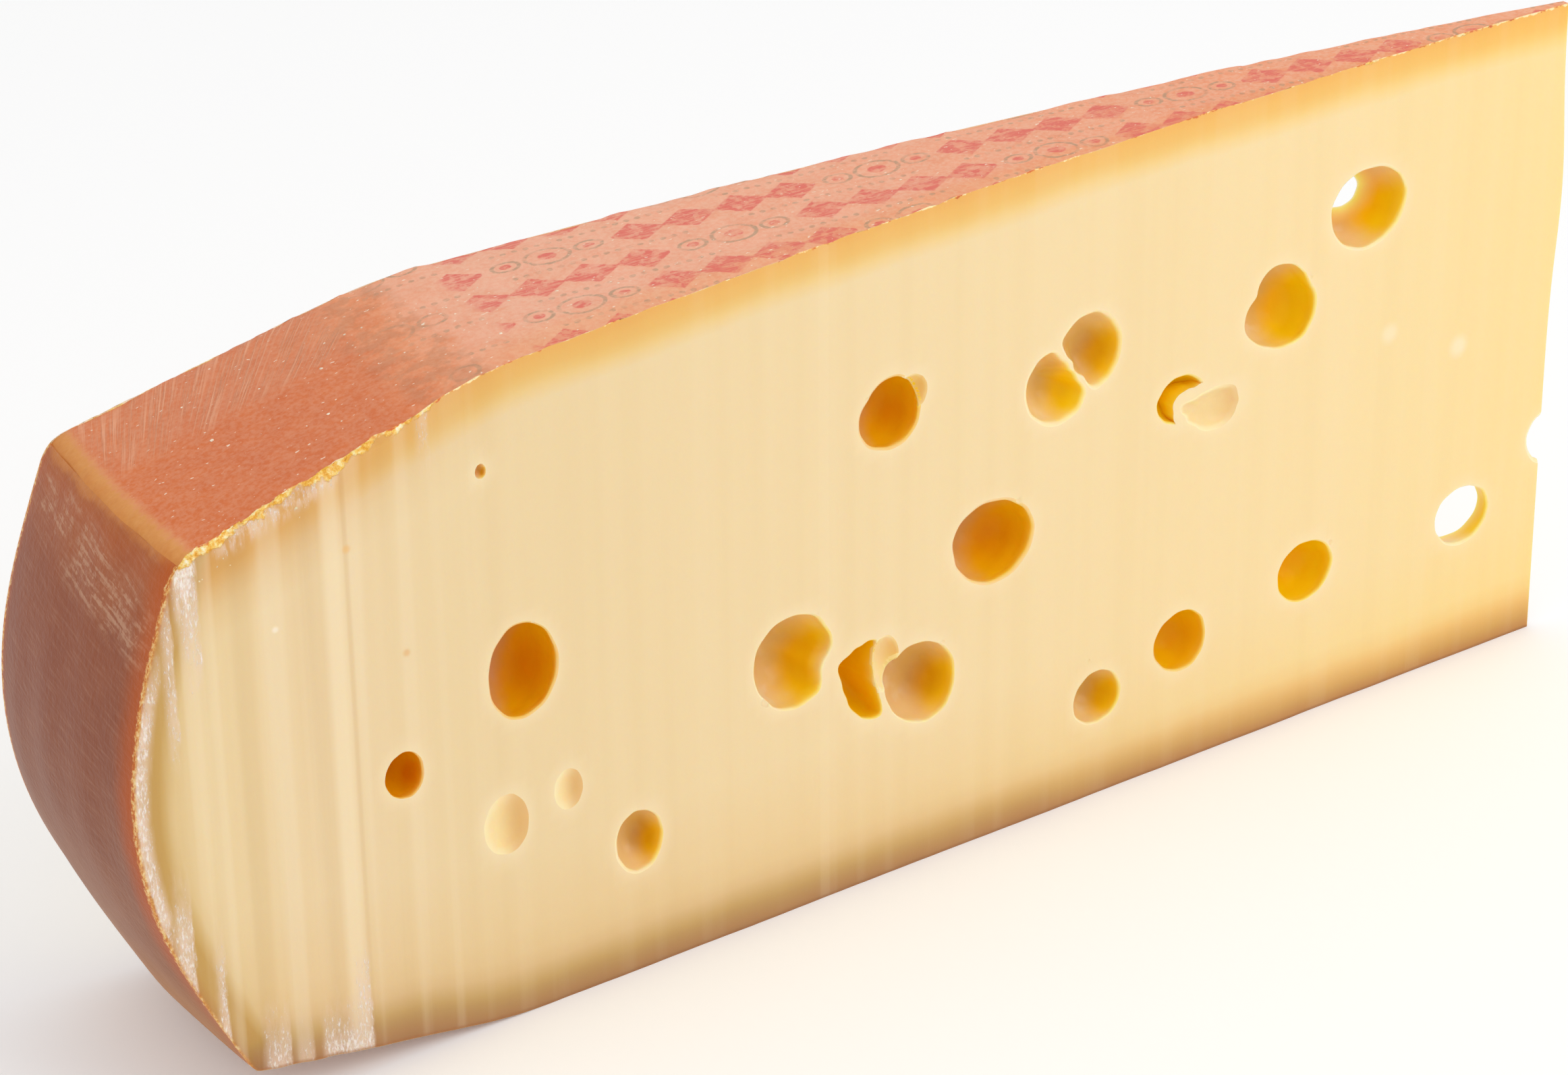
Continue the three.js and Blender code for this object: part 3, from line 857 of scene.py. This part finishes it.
def body_points(column_index, row_index, turn_index):
    """Lattice points of the wedge's surface in the part's frame, with their relief, in millimetres."""
    turn = TURNS[turn_index]
    section = section_point(COLUMNS[column_index], ROWS[row_index], turn)
    radius, height = section[:, 0], section[:, 1]
    angle = HALF_ANGLE * (2 * turn - 1)
    points = np.stack([-radius * np.cos(angle), radius * np.sin(angle), height], -1)
    under_top = np.maximum(top_height(np.minimum(radius, WHEEL_RADIUS)) - height, 0)
    on_top = row_index == len(ROWS) - 1
    lip_reach = np.minimum(6, 0.8 * radius * HALF_ANGLE + 0.01)
    ends = ((-1, turn, 0, KNIFE_MARKS, 11, 1.0), (1, 1 - turn, len(TURNS) - 1, KNIFE_MARKS[:2], 31, 0.4))
    for side, from_cut, last, marks, seed, broken in ends:
        _, normal = face_axes(side)
        gap = from_cut * 2 * HALF_ANGLE * radius
        push = crumbled_lip(radius, under_top, seed) * near(gap, lip_reach) * broken
        push = push + face_relief(radius, height, under_top, marks, seed + 5) * (turn_index == last)
        points -= push[:, None] * normal
        drop = LIP_WAVES * uneven(radius, 4.3, seed + 9) * near(gap, 5)
        points[:, 2] -= on_top * drop * np.clip(radius / 150, 0.2, 1)
    arc = np.stack([radius, radius * angle], -1)
    points[:, 2] -= on_top * TOP_WAVES * ripple(arc, (26, 48, 90), 3) * np.clip(radius / 150, 0.2, 1)
    on_rim = column_index == len(COLUMNS) - 1
    along_rim = np.stack([radius * angle, height], -1)
    inwards = np.stack([np.cos(angle), -np.sin(angle), np.zeros_like(angle)], -1)
    points += (on_rim * RIM_WAVES * ripple(along_rim, (18, 40, 70), 4))[:, None] * inwards
    return points + AXIS


def make_body():
    """The uncut wedge: the outside of a lattice of columns, rows and turns."""
    shape = (len(COLUMNS), len(ROWS), len(TURNS))
    outside = np.zeros(shape, bool)
    for axis in range(3):
        for end in (0, -1):
            outside[(slice(None),) * axis + (end,)] = True
    numbers = np.full(shape, -1)
    numbers[outside] = np.arange(outside.sum())
    points = body_points(*np.nonzero(outside)) * MM
    faces, kinds = [], []
    sheets = [
        (numbers[:, :, 0], True, CUT), (numbers[:, :, -1], False, CUT),
        (numbers[:, -1, :], True, TOP), (numbers[:, 0, :], False, BASE),
        (numbers[-1, :, :], False, RIM), (numbers[0, :, :], True, CUT),
    ]
    for sheet, flipped, kind in sheets:
        quads = np.stack([sheet[:-1, :-1], sheet[1:, :-1], sheet[1:, 1:], sheet[:-1, 1:]], -1)
        quads = quads.reshape(-1, 4)
        faces.append(quads[:, ::-1] if flipped else quads)
        kinds.append(np.full(len(quads), kind))
    return new_piece("wedge_body", points.tolist(), np.concatenate(faces).tolist(), np.concatenate(kinds))


# --- Eyes ----------------------------------------------------------------------------------------

# An eye: distance from the axis, height, half width, half height, depth of the bubble, how far its centre
# is sunk as a part of that depth, how dark its painted shade is inside, below zero for a pale shallow dish,
# how far the painted amber shade spreads over its wall, and, where the opening isn't oval, points round it
# as distances and heights
Eye = namedtuple("Eye", "radius height wide tall deep sunk tone spread outline", defaults=(0.8, None))

POINTED_EYE = Eye(252.8, 58.8, 7.0, 10.5, 11, 0.3, 0.28, 3.0, [
    (261.2, 66.1), (256.8, 68.4), (252.5, 69.8), (249.2, 70.3), (247.2, 69.4), (247.8, 66), (248.2, 61.5),
    (248.4, 57), (247.4, 52.7), (246, 48.5), (247.9, 47), (251.6, 47.7), (255.3, 50.8), (257.7, 55.7),
    (259.5, 61.2),
])
CRESCENT_EYE = Eye(148.2, 109.4, 8.4, 7.2, 6, 0.15, 0.1, 3.0, [
    (141, 113.4), (145.8, 116.3), (150.5, 116.4), (154.4, 113.5), (156, 109.9), (154.9, 106.2),
    (152, 103.6), (147.5, 102.4), (142, 104), (139.6, 109),
])
DENTED_EYE = Eye(275, 71.5, 12, 13, 12.5, 0.15, 0.1, 0.85, [
    (272.3, 84.9), (266.5, 82.5), (263.6, 78.8), (261.8, 75.4), (261.6, 72.5), (262.7, 70.5),
    (264.6, 68.8), (265.4, 66.3), (265.3, 63.5), (266.4, 61.3), (268.8, 59.9), (272.4, 58.7),
    (276.4, 58.8), (280.5, 60), (283.7, 63.5), (286.2, 68.7), (286.3, 73), (285.5, 76.9), (283.6, 80.6),
    (280.3, 83.5), (276.3, 84.9),
])
# Round and oval eyes of the front cut, and after them those with an outline of their own
ROUND_EYES = [Eye(*values) for values in (
    (360.9, 149.3, 1.5, 1.9, 3, 0.2, 0.2), (352.7, 94.7, 9.8, 12.5, 12, 0.45, 0.85, 1.4),
    (386.6, 77.4, 5.1, 6.2, 8, 0.5, 1.0, 3.0), (359.7, 54.7, 6.3, 8.6, 9, -0.8, -1.0),
    (341.9, 58.5, 4.1, 5.5, 7, -0.82, -1.0), (322, 36.9, 7.2, 8.9, 8.5, 0.05, 0.25, 0.6),
    (83.2, 148.5, 13.6, 11.5, 13.2, 0.25, 0.0, 0.7), (41.8, 45, 10.3, 8.8, 12, 0.55, 0.1),
    (101.3, 45.1, 10.2, 9.1, 9.5, 0.3, 0.0, 1.8), (146.2, 37.4, 9.3, 9.2, 10, 0.25, 0.62, 1.5),
    (175.3, 29.6, 8.2, 8, 8.5, 0.2, 0.12, 0.72), (8.2, 61, 9.2, 8.3, 12, 0.1, 0.0),
)]
SHAPED_EYES = [
    Eye(245.4, 63, 4.6, 7, 7, -0.5, -0.8, 0.5, [
        (249.2, 68.6), (246.4, 70.2), (243, 69.6), (241.2, 66.8), (240.8, 63.4), (241.6, 59.4),
        (243.6, 55.6), (246.4, 53.4), (248.8, 56), (249.9, 60), (250.1, 64.5),
    ]),
    Eye(234, 53.2, 10.8, 11.9, 12, 0.1, 0.22, 0.62, [
        (243.7, 61), (245.8, 57.1), (245.5, 51.3), (242.5, 45.5), (237.9, 42.1), (232.2, 41),
        (226.9, 42.9), (223.5, 48.9), (223.2, 54.5), (225.5, 60.5), (228.2, 63.1), (232, 64.8),
        (237, 65.3), (240.9, 63.5),
    ]),
    Eye(138.2, 103.8, 10.4, 6, 8, -0.58, -1.0, 0.3, [
        (148.6, 108.2), (143.6, 108.5), (138.9, 109.6), (135.5, 110.2), (132.7, 109.7), (129.1, 109),
        (127.6, 106.3), (127.9, 102.4), (130.3, 99.4), (133.7, 98), (137.8, 97.9), (142.7, 100.6),
        (146.4, 104.3),
    ]),
    Eye(243.2, 132, 9, 9.5, 10.5, 0.4, 0.8, 1.4, [
        (249.6, 137.4), (246.4, 140.7), (242.8, 141.6), (238.6, 140.4), (235.4, 137.6), (233.6, 132.8),
        (234.3, 128.6), (236.9, 124.5), (241.2, 122.4), (246.1, 122.5), (250.4, 125), (252.5, 129.4),
        (251.9, 134),
    ]),
    Eye(235.6, 136, 4.2, 4.6, 6, -0.55, -0.7, outline=[
        (241, 139.4), (238, 140.3), (233.6, 139.6), (231.4, 135.4), (232.6, 132.4), (236, 131),
        (240, 133.5),
    ]),
    Eye(190.9, 124.5, 9.6, 10, 11, -0.12, 0.06, 0.7, [
        (191.1, 135), (187.9, 131.6), (185.4, 128.4), (182.7, 124.5), (180.1, 120.6), (183, 116.4),
        (187.4, 114.4), (192.6, 114.6), (197.3, 117.5), (200.2, 124), (199.4, 129.4), (196.2, 133.3),
    ]),
    Eye(178.5, 131.5, 10.1, 10.6, 11, -0.12, 0.18, 0.68, [
        (189.1, 136.4), (185.9, 140.3), (181, 142.4), (176.5, 142.4), (171.8, 139.4), (169, 134.3),
        (169.2, 128.7), (171.6, 124.3), (175.3, 120.9), (178.1, 120.7), (180.9, 124.8), (184.7, 130.2),
        (187.7, 134.1),
    ]),
    Eye(210.9, 86.8, 13, 11.3, 13, 0.3, 0.72, 1.15, [
        (223.8, 89.6), (221.2, 94.6), (216, 97.6), (210.3, 98.3), (205.2, 97.2), (202.4, 95.2),
        (199.2, 92.6), (197.5, 87.5), (198.5, 82.1), (202.5, 78), (208.4, 75.3), (214.8, 75.8),
        (220.7, 79.6), (223.5, 85),
    ]),
    Eye(113.2, 127.4, 12.6, 12, 11, 0.25, 0.0, 0.95, [
        (111.2, 139.2), (106.9, 136.8), (104, 133.4), (102, 130.4), (100.7, 127.2), (100.9, 123.6),
        (102.5, 120.3), (105.1, 117.2), (108.6, 115.6), (113.1, 115.3), (116.8, 115.9), (121.3, 117.8),
        (125, 121.3), (126.5, 124.3), (126.1, 127.8), (124.3, 130.4), (122.2, 132.2), (121.2, 136.1),
        (118.9, 138.4), (115, 139.5),
    ]),
]
# The tongue of paste that makes one eye a crescent
TONGUE = Eye(144.6, 106.6, 6.2, 6, 10, 0.4, 0, outline=[
    (140, 112.4), (143, 111.6), (146.2, 111.6), (149.1, 110.8), (150.4, 109.2), (150.3, 106.5),
    (149.6, 103.2), (147, 100), (141, 98), (135, 104), (136, 110),
])
BACK_EYES = [Eye(*values) for values in (
    (404, 118, 6.5, 8.5, 9, 0.2, 0.3), (386, 54, 9, 11, 11, 0.3, 0.3),
    (352, 138, 10.5, 12, 12, 0.35, 0.3), (331, 86, 5.5, 6.5, 7, -0.5, -0.8),
    (308, 44, 9.5, 10.5, 11, 0.25, 0.3), (296, 112, 12.5, 12, 12, 0.3, 0.3),
    (262, 150, 8, 8.5, 9, 0.1, 0.2), (247, 96, 4, 4.5, 6, -0.6, -0.8), (226, 38, 8, 7.5, 9, 0.2, 0.3),
    (205, 158, 9, 8.5, 9, 0.25, 0.2), (192, 60, 9.5, 8.5, 10, 0.15, 0.3), (158, 76, 6, 6, 7, -0.3, -0.3),
    (140, 148, 7.5, 7, 8, 0.1, 0.1), (118, 84, 6.5, 6, 6.5, 0.1, 0.1), (72, 100, 5, 4.5, 5, -0.2, -0.2),
)]
# Thin places in the walls of the eyes, pale with a painted glow of light through them: distance from the
# axis, height and reach
THIN_WALLS = [(263.0, 69.0, 7.0), (248.6, 60.0, 4.5)]
# Small chips out of the lips: distance from the axis, height and size
CHIPS = [
    (250.1, 137.4, 1.0), (233.9, 133.1, 0.9), (202.2, 95.8, 1.1), (92.1, 51.2, 1.0), (227.0, 62.5, 1.1),
    (103.0, 133.2, 0.9), (282.7, 63.2, 1.9), (266.3, 82.8, 0.8), (362.0, 97.5, 0.9), (349.4, 106.3, 0.8),
    (178.2, 41.4, 0.8),
]
LIP_DEPTH = 0.7            # the opening flares over this depth
LIP_FLARE = 1.2            # and by this much, to a soft lip
OVERCUT = 0.9              # the cutter stands this far out of the face
# painted glow: the paste is paler this close to an eye
HALO_REACH = 3.0           # the paste is paler this close to an eye
# a wall gets a painted glow of light through it where less than this is left of it
THIN_LEFT = 3.5            # a wall gets pale where less than this is left of it
LIGHT_SIDEWAYS = 0.62      # how far the light runs along the face for each millimetre that it comes in
LIGHT_DOWN = 0.53          # and how far down


def face_matrix(side, radius, height):
    """Axes on a cut face, in metres: X level along it, Y up, Z out of it."""
    outwards, normal = face_axes(side)
    across = Vector(outwards * side)
    place = Vector((outwards * radius + AXIS + (0, 0, height)) * MM)
    turn = Matrix((across, Vector((0, 0, 1)), Vector(normal))).transposed().to_4x4()
    return Matrix.Translation(place) @ turn


def reach_around(eye, side, turns):
    """How far an opening reaches in each direction, as a part of its half width and half height."""
    if not eye.outline:
        return np.ones_like(turns)
    across = np.array([(radius - eye.radius) / eye.wide for radius, _ in eye.outline]) * side
    up = np.array([(height - eye.height) / eye.tall for _, height in eye.outline])
    order = np.argsort(np.arctan2(up, across))
    known, reaches = np.arctan2(up, across)[order], np.hypot(across, up)[order]
    shifts = (-0.08, 0.0, 0.08)
    nearby = [np.interp(turns + shift, known, reaches, period=2 * np.pi) for shift in shifts]
    return sum(nearby) / len(shifts)


def capped(name, rings, below, above, kind, place):
    """A cutter made of rings of points one over the other, closed by a point below them and one above."""
    count = len(rings[0])
    points = [(0.0, 0.0, below), *(point for ring in rings for point in ring), (0.0, 0.0, above)]
    last = len(points) - 1
    faces = []
    for i in range(count):
        j = (i + 1) % count
        faces.append((0, 1 + j, 1 + i))
        for low in range(1, last - count, count):
            high = low + count
            faces.append((low + i, low + j, high + j, high + i))
        faces.append((last - count + i, last - count + j, last))
    piece = new_piece(name, [Vector(point) * MM for point in points], faces, np.full(len(faces), kind))
    piece.data.transform(place)
    return piece


def bubble(name, side, eye, seed):
    """A cutter for an eye: its bubble, its soft lip, and a plug that stands out of the face."""
    widest = max(eye.wide, eye.tall)
    is_fine = side < 0 and widest > 7
    segments = 84 if eye.outline else 64 if is_fine else 36
    opening = math.sqrt(1 - eye.sunk * eye.sunk)
    flare = LIP_FLARE * min(1.0, widest / 9)
    full_wide = (eye.wide - flare / 2) / opening
    full_tall = (eye.tall - flare / 2) / opening
    middle = -eye.sunk * eye.deep
    # levels of the rings: close together by the pole, by the lip and above the face
    to_lip = math.acos(np.clip((middle + LIP_DEPTH) / eye.deep, -1, 1))
    levels = np.concatenate([
        middle - eye.deep * np.cos(np.linspace(0.12, 1, 15 if is_fine else 9) * to_lip),
        np.linspace(-LIP_DEPTH, 0, 4)[1:],
        np.linspace(0, OVERCUT, 3)[1:],
    ])
    around = np.linspace(0, 2 * np.pi, segments, endpoint=False)
    phases = np.random.default_rng(seed).uniform(0, 2 * np.pi, 6)
    shape = reach_around(eye, side, around)
    for lobes, height, phase in ((2, 0.014, 0), (3, 0.01, 1), (7, 0.006, 4), (11, 0.005, 5)):
        shape = shape + height * np.sin(lobes * around + phases[phase])
    rings = []
    for level in levels:
        reach = math.sqrt(max(1 - ((min(level, 0) - middle) / eye.deep) ** 2, 0))
        lift = min((level + LIP_DEPTH) / LIP_DEPTH, 1.5)
        extra = flare * lift * lift if lift > 0 else 0.0
        wave = 1 + 0.02 * np.sin(3 * around + phases[2] + level * 0.5) * np.sin(level * 0.7 + phases[3])
        x = (reach * full_wide + extra) * shape * wave * np.cos(around)
        y = (reach * full_tall + extra) * shape * wave * np.sin(around)
        rings.append(list(zip(x, y, np.full(segments, level))))
    place = face_matrix(side, eye.radius, eye.height)
    return capped(name, rings, middle - eye.deep, OVERCUT, LINING, place)


def chip(name, radius, height, size, seed):
    """A small rough cutter that breaks a bit out of the lip of an eye."""
    random = np.random.default_rng(seed)
    around = np.linspace(0, 2 * np.pi, 9, endpoint=False)
    rings = []
    for level, reach in ((-0.3, 0.6), (0.0, 1.0), (1.0, 1.1)):
        reaches = reach * size * random.uniform(0.75, 1.2, len(around))
        levels = np.full(len(around), level * size)
        rings.append(list(zip(reaches * np.cos(around), reaches * np.sin(around), levels)))
    return capped(name, rings, -0.5 * size, size, CUT, face_matrix(-1, radius, height))


def baked(piece):
    """The mesh of a piece with its modifiers, which are then removed."""
    graph = bpy.context.evaluated_depsgraph_get()
    mesh = bpy.data.meshes.new_from_object(piece.evaluated_get(graph), depsgraph=graph)
    piece.modifiers.clear()
    return mesh


def carve(piece, cutters):
    """Cuts the cutters out of the piece and removes them."""
    for cutter in cutters:
        modifier = piece.modifiers.new(cutter.name, "BOOLEAN")
        modifier.object = cutter
        modifier.operation = "DIFFERENCE"
        modifier.solver = "MANIFOLD"
    old = piece.data
    piece.data = baked(piece)
    bpy.data.meshes.remove(old)
    for cutter in cutters:
        bpy.data.objects.remove(cutter)
    return piece


def eye_cutters():
    """Cutters for every eye and for the chips in their lips."""
    cutters = []
    for name, side, eyes, seed in (
        ("eye", -1, ROUND_EYES, 100), ("back_eye", 1, BACK_EYES, 200), ("shaped", -1, SHAPED_EYES, 300),
    ):
        cutters += [bubble(f"{name}_{i}", side, eye, seed + i) for i, eye in enumerate(eyes)]
    cutters.append(bubble("pointed", -1, POINTED_EYE, 306))
    crescent = bubble("crescent", -1, CRESCENT_EYE, 303)
    cutters.append(carve(crescent, [bubble("tongue", -1, TONGUE, 302)]))
    cutters.append(bubble("dented", -1, DENTED_EYE, 304))
    return cutters + [chip(f"chip_{i}", *values, 400 + i) for i, values in enumerate(CHIPS)]


def within_eye(eye, side, along, height):
    """Where a point is in an eye's opening: level and up, in half widths and half heights, and its
    distance from the middle as a part of how far the opening reaches there."""
    x, y = (along - eye.radius) / eye.wide * side, (height - eye.height) / eye.tall
    return x, y, np.hypot(x, y) / reach_around(eye, side, np.arctan2(y, x))


def describe_surface(mesh):
    """Gives every point what the materials read: distances from the rinds and the place within an eye."""
    flat = np.empty(len(mesh.vertices) * 3, np.float32)
    mesh.vertices.foreach_get("co", flat)
    points = flat.reshape(-1, 3) / MM - AXIS
    radius = np.hypot(points[:, 0], points[:, 1])
    height = points[:, 2]
    share = np.clip((height - BASE_CORNER_HEIGHT) / RIM_LENGTH, 0, 1)
    turn = np.clip(np.arctan2(points[:, 1], -points[:, 0]) / HALF_ANGLE / 2 + 0.5, 0, 1)
    rim_radius = rim_point(share, BACK_SWELL * np.sin(turn * np.pi / 2))[:, 0]
    values = {name: np.zeros(len(points)) for name in (*EYE_VALUES, "near_eye")}
    values["under_top"] = top_height(np.minimum(radius, WHEEL_RADIUS)) - height
    values["over_base"] = height - base_height(radius)
    values["from_rim"] = rim_radius - radius
    closest = np.full(len(points), np.inf)
    front = [*ROUND_EYES, *SHAPED_EYES, POINTED_EYE, CRESCENT_EYE, DENTED_EYE]
    for side, eyes in ((-1, front), (1, BACK_EYES)):
        outwards, normal = face_axes(side)
        depth = -(points @ normal)
        along = points @ outwards
        on_tongue = within_eye(TONGUE, side, along, height)[2] < 0.9
        # what is left between here and the other cut face
        left = 2 * radius * math.sin(HALF_ANGLE) - depth
        # painted glow where the wall is thin
        thin = near(left, THIN_LEFT) * (depth > 2)
        for eye in eyes:
            x, y, distance = within_eye(eye, side, along, height)
            least = min(eye.wide, eye.tall)
            # paler paste round the lip: painted glow
            halo = near((distance - 1) * least, HALO_REACH) * (np.abs(depth) < 1.5)
            values["near_eye"] = np.maximum(values["near_eye"], halo)
            # the eye whose bubble passes closest to the point
            opening = math.sqrt(1 - eye.sunk * eye.sunk)
            off = np.abs(np.hypot(distance * opening, eye.sunk - depth / eye.deep) - 1) * least
            if eye.tone >= 0:
                inside = (distance < 1) & (depth > 0.3) & (depth < eye.deep * (1 + eye.sunk) + 0.5)
                off = np.where(inside, np.minimum(off, 0.5), off)
            if eye is CRESCENT_EYE:
                off = np.where(on_tongue, np.inf, off)
            mine = off < closest
            closest = np.where(mine, off, closest)
            # where the light that reaches the point comes in through the opening
            x_in, y_in = x - LIGHT_SIDEWAYS * depth / eye.wide, y + LIGHT_DOWN * depth / eye.tall
            # painted shade field: the side of a dish away from the light, and the part of a deeper eye away
            # from where light comes in
            if eye.tone < 0:
                amber = eye.spread - 0.8 + 0.8 * x
            else:
                amber = eye.spread - np.hypot(x_in - 0.55, y_in + 0.15)
            # middles of the painted shade inside an eye: a brown core and the darkest part
            shade_core, middle = np.hypot(x_in + 0.15, y_in - 0.3), np.hypot(x_in - 0.2, y_in)
            for name, value in zip(EYE_VALUES, (depth, eye.tone, amber, shade_core, middle, thin)):
                values[name] = np.where(mine, value, values[name])
    outwards, _ = face_axes(-1)
    # painted glow at the listed thin places
    for away, up, reach in THIN_WALLS:
        distance = np.hypot(points @ outwards - away, height - up)
        fades = near(values["eye_depth"], 6) * 0.8
        values["thin"] = np.maximum(values["thin"], np.clip(1.2 - distance / reach, 0, 1) * fades)
    for name, value in values.items():
        layer = mesh.attributes.new(name, "FLOAT", "POINT")
        layer.data.foreach_set("value", value.astype(np.float32))


def read(items, name, kind):
    """One value of every item of a mesh, as an array."""
    values = np.empty(len(items), kind)
    items.foreach_get(name, values)
    return values


def smooth_with_creases(mesh, angle):
    """Shades the mesh smoothly, with creases at sharp corners and at the lips of the eyes."""
    mesh.polygons.foreach_set("use_smooth", np.ones(len(mesh.polygons), bool))
    mesh.set_sharp_from_angle(angle=math.radians(angle))
    is_lining = read(mesh.polygons, "material_index", np.int32) == LINING
    per_loop = np.repeat(is_lining, read(mesh.polygons, "loop_total", np.int32))
    edge_of_loop = read(mesh.loops, "edge_index", np.int32)
    lined = np.bincount(edge_of_loop, weights=per_loop, minlength=len(mesh.edges))
    sharp = read(mesh.edges, "use_edge_sharp", bool)
    mesh.edges.foreach_set("use_edge_sharp", sharp | (lined == 1))


# --- Crumbs and flecks ---------------------------------------------------------------------------


def scatter_tree(name):
    """Geometry nodes: small rough stones strewn over the mesh, which itself is left out."""
    tree = bpy.data.node_groups.new(name, "GeometryNodeTree")
    for label, kind, value in (
        ("Ground", "Geometry", None), ("Density", "Float", 1000.0), ("Smallest", "Float", 0.0002),
        ("Largest", "Float", 0.001), ("Flatness", "Float", 0.5), ("Seed", "Int", 1),
        ("Finish", "Material", None),
    ):
        socket = tree.interface.new_socket(name=label, in_out="INPUT", socket_type="NodeSocket" + kind)
        if value is not None:
            socket.default_value = value
    tree.interface.new_socket(name="Stones", in_out="OUTPUT", socket_type="NodeSocketGeometry")
    given = [Value(socket) for socket in tree.nodes.new("NodeGroupInput").outputs]
    soil, density, smallest, largest, flatness, seed, material = given[:7]
    out = tree.nodes.new("NodeGroupOutput")
    inputs = {"Mesh": soil, "Density": density, "Seed": seed}
    spread = put(tree, "GeometryNodeDistributePointsOnFaces", inputs, "Points")
    facing = Value(spread.socket.node.outputs["Rotation"])
    stone = put(tree, "GeometryNodeMeshIcoSphere", {"Radius": 1.0, "Subdivisions": 1})
    size, slim = (
        put(tree, "FunctionNodeRandomValue", {2: least, 3: most, "Seed": seed}, 1, data_type="FLOAT")
        for least, most in ((smallest, largest), (0.35, 1.0))
    )
    form = put(tree, "ShaderNodeCombineXYZ", {0: size, 1: size * slim, 2: size * flatness})
    inputs = {0: (0, 0, 0), 1: (0.3, 0.3, 2 * math.pi)}
    spin = put(tree, "FunctionNodeRandomValue", inputs, data_type="FLOAT_VECTOR")
    turn = put(tree, "FunctionNodeRotateRotation", {0: facing, 1: spin}, rotation_space="LOCAL")
    inputs = {"Points": spread, "Instance": stone, "Rotation": turn, "Scale": form}
    strewn = put(tree, "GeometryNodeInstanceOnPoints", inputs)
    real = put(tree, "GeometryNodeRealizeInstances", {0: strewn})
    painted = put(tree, "GeometryNodeSetMaterial", {"Geometry": real, "Material": material})
    feed(out.inputs["Stones"], painted)
    return tree


def strew(name, tree, rows, **values):
    """The stones of scatter_tree over a strip between rows of points, as a plain mesh."""
    count = len(rows[0])
    faces = [
        (low + j, low + j + 1, low + count + j + 1, low + count + j)
        for low in range(0, (len(rows) - 1) * count, count) for j in range(count - 1)
    ]
    mesh = bpy.data.meshes.new(name)
    mesh.from_pydata((np.concatenate(rows) * MM).tolist(), [], faces)
    piece = place_in_scene(name, mesh)
    modifier = piece.modifiers.new("stones", "NODES")
    modifier.node_group = tree
    for item in tree.interface.items_tree:
        if item.in_out == "INPUT" and item.name in values:
            modifier[item.identifier] = values[item.name]
    piece.data = baked(piece)
    piece.data.polygons.foreach_set("use_smooth", np.zeros(len(piece.data.polygons), bool))
    return piece


def on_front(radius, height, depth):
    outwards, normal = face_axes(-1)
    flat = radius[:, None] * outwards - depth * normal + AXIS
    return flat + np.stack([np.zeros_like(height), np.zeros_like(height), height], -1)


def on_rind(radius, angle, sunk):
    x, y = AXIS[0] - radius * math.cos(angle), AXIS[1] + radius * math.sin(angle)
    return np.stack([x, y, top_height(radius) - sunk], -1)


# --- Assembly ------------------------------------------------------------------------------------


def make_wedge():
    FINISHES.extend([make_paste(), make_top_rind(), make_rim_rind(), make_underside(), make_lining()])
    wedge = carve(make_body(), eye_cutters())
    wedge.name = "wedge"
    wedge.data.name = "wedge"
    describe_surface(wedge.data)
    smooth_with_creases(wedge.data, 38)
    return wedge


def make_crumbs(tree):
    """Crumbs along the broken lip."""
    radius = np.linspace(CRUMB_FROM + 2, CRUMB_TO - 1, 40)
    high = top_height(radius)
    rows = [on_front(radius, high - down, depth) for down, depth in ((9, 0.5), (4, 0.7), (1.2, 1.6))]
    finish_of_crumbs = make_plain("lip_crumb", (250, 228, 180), 0.6, 0.3)
    return strew(
        "lip_crumbs", tree, rows, Density=3.0e5, Smallest=0.0001, Largest=0.00045, Flatness=0.6, Seed=5,
        Finish=finish_of_crumbs,
    )


def make_flecks(tree):
    """Dust on the top rind."""
    radius = np.linspace(60, 425, 60)
    reach = HALF_ANGLE * 0.9
    rows = [on_rind(radius, angle, 0.45) for angle in np.linspace(-reach, reach, 9)]
    finish_of_flecks = make_plain("rind_fleck", (250, 232, 206), 0.7)
    return strew(
        "rind_flecks", tree, rows, Density=6.0e3, Smallest=0.0002, Largest=0.0006, Flatness=0.4, Seed=9,
        Finish=finish_of_flecks,
    )


def make_floor():
    material, _, shader = new_material("pale_floor", 0.8, 0.2)
    shader.inputs["Base Color"].default_value = paint(250, 250, 250)
    shader.inputs["Emission Color"].default_value = (1, 1, 1, 1)
    shader.inputs["Emission Strength"].default_value = 0.1
    mesh = bpy.data.meshes.new("floor")
    corners = [(x * FLOOR_REACH, y * FLOOR_REACH, 0) for x, y in ((-1, -1), (1, -1), (1, 1), (-1, 1))]
    mesh.from_pydata(corners, [], [(0, 1, 2, 3)])
    mesh.materials.append(material)
    floor = place_in_scene("floor", mesh)


def main():
    make_camera()
    light_the_scene()
    make_floor()
    make_wheel_place()
    make_mottle()
    wedge = make_wedge()
    tree = scatter_tree("stones")
    crumbs = make_crumbs(tree)
    flecks = make_flecks(tree)
    for piece in (wedge, crumbs, flecks):
        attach(piece, "root")
        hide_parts("cheese_wedge")


main()
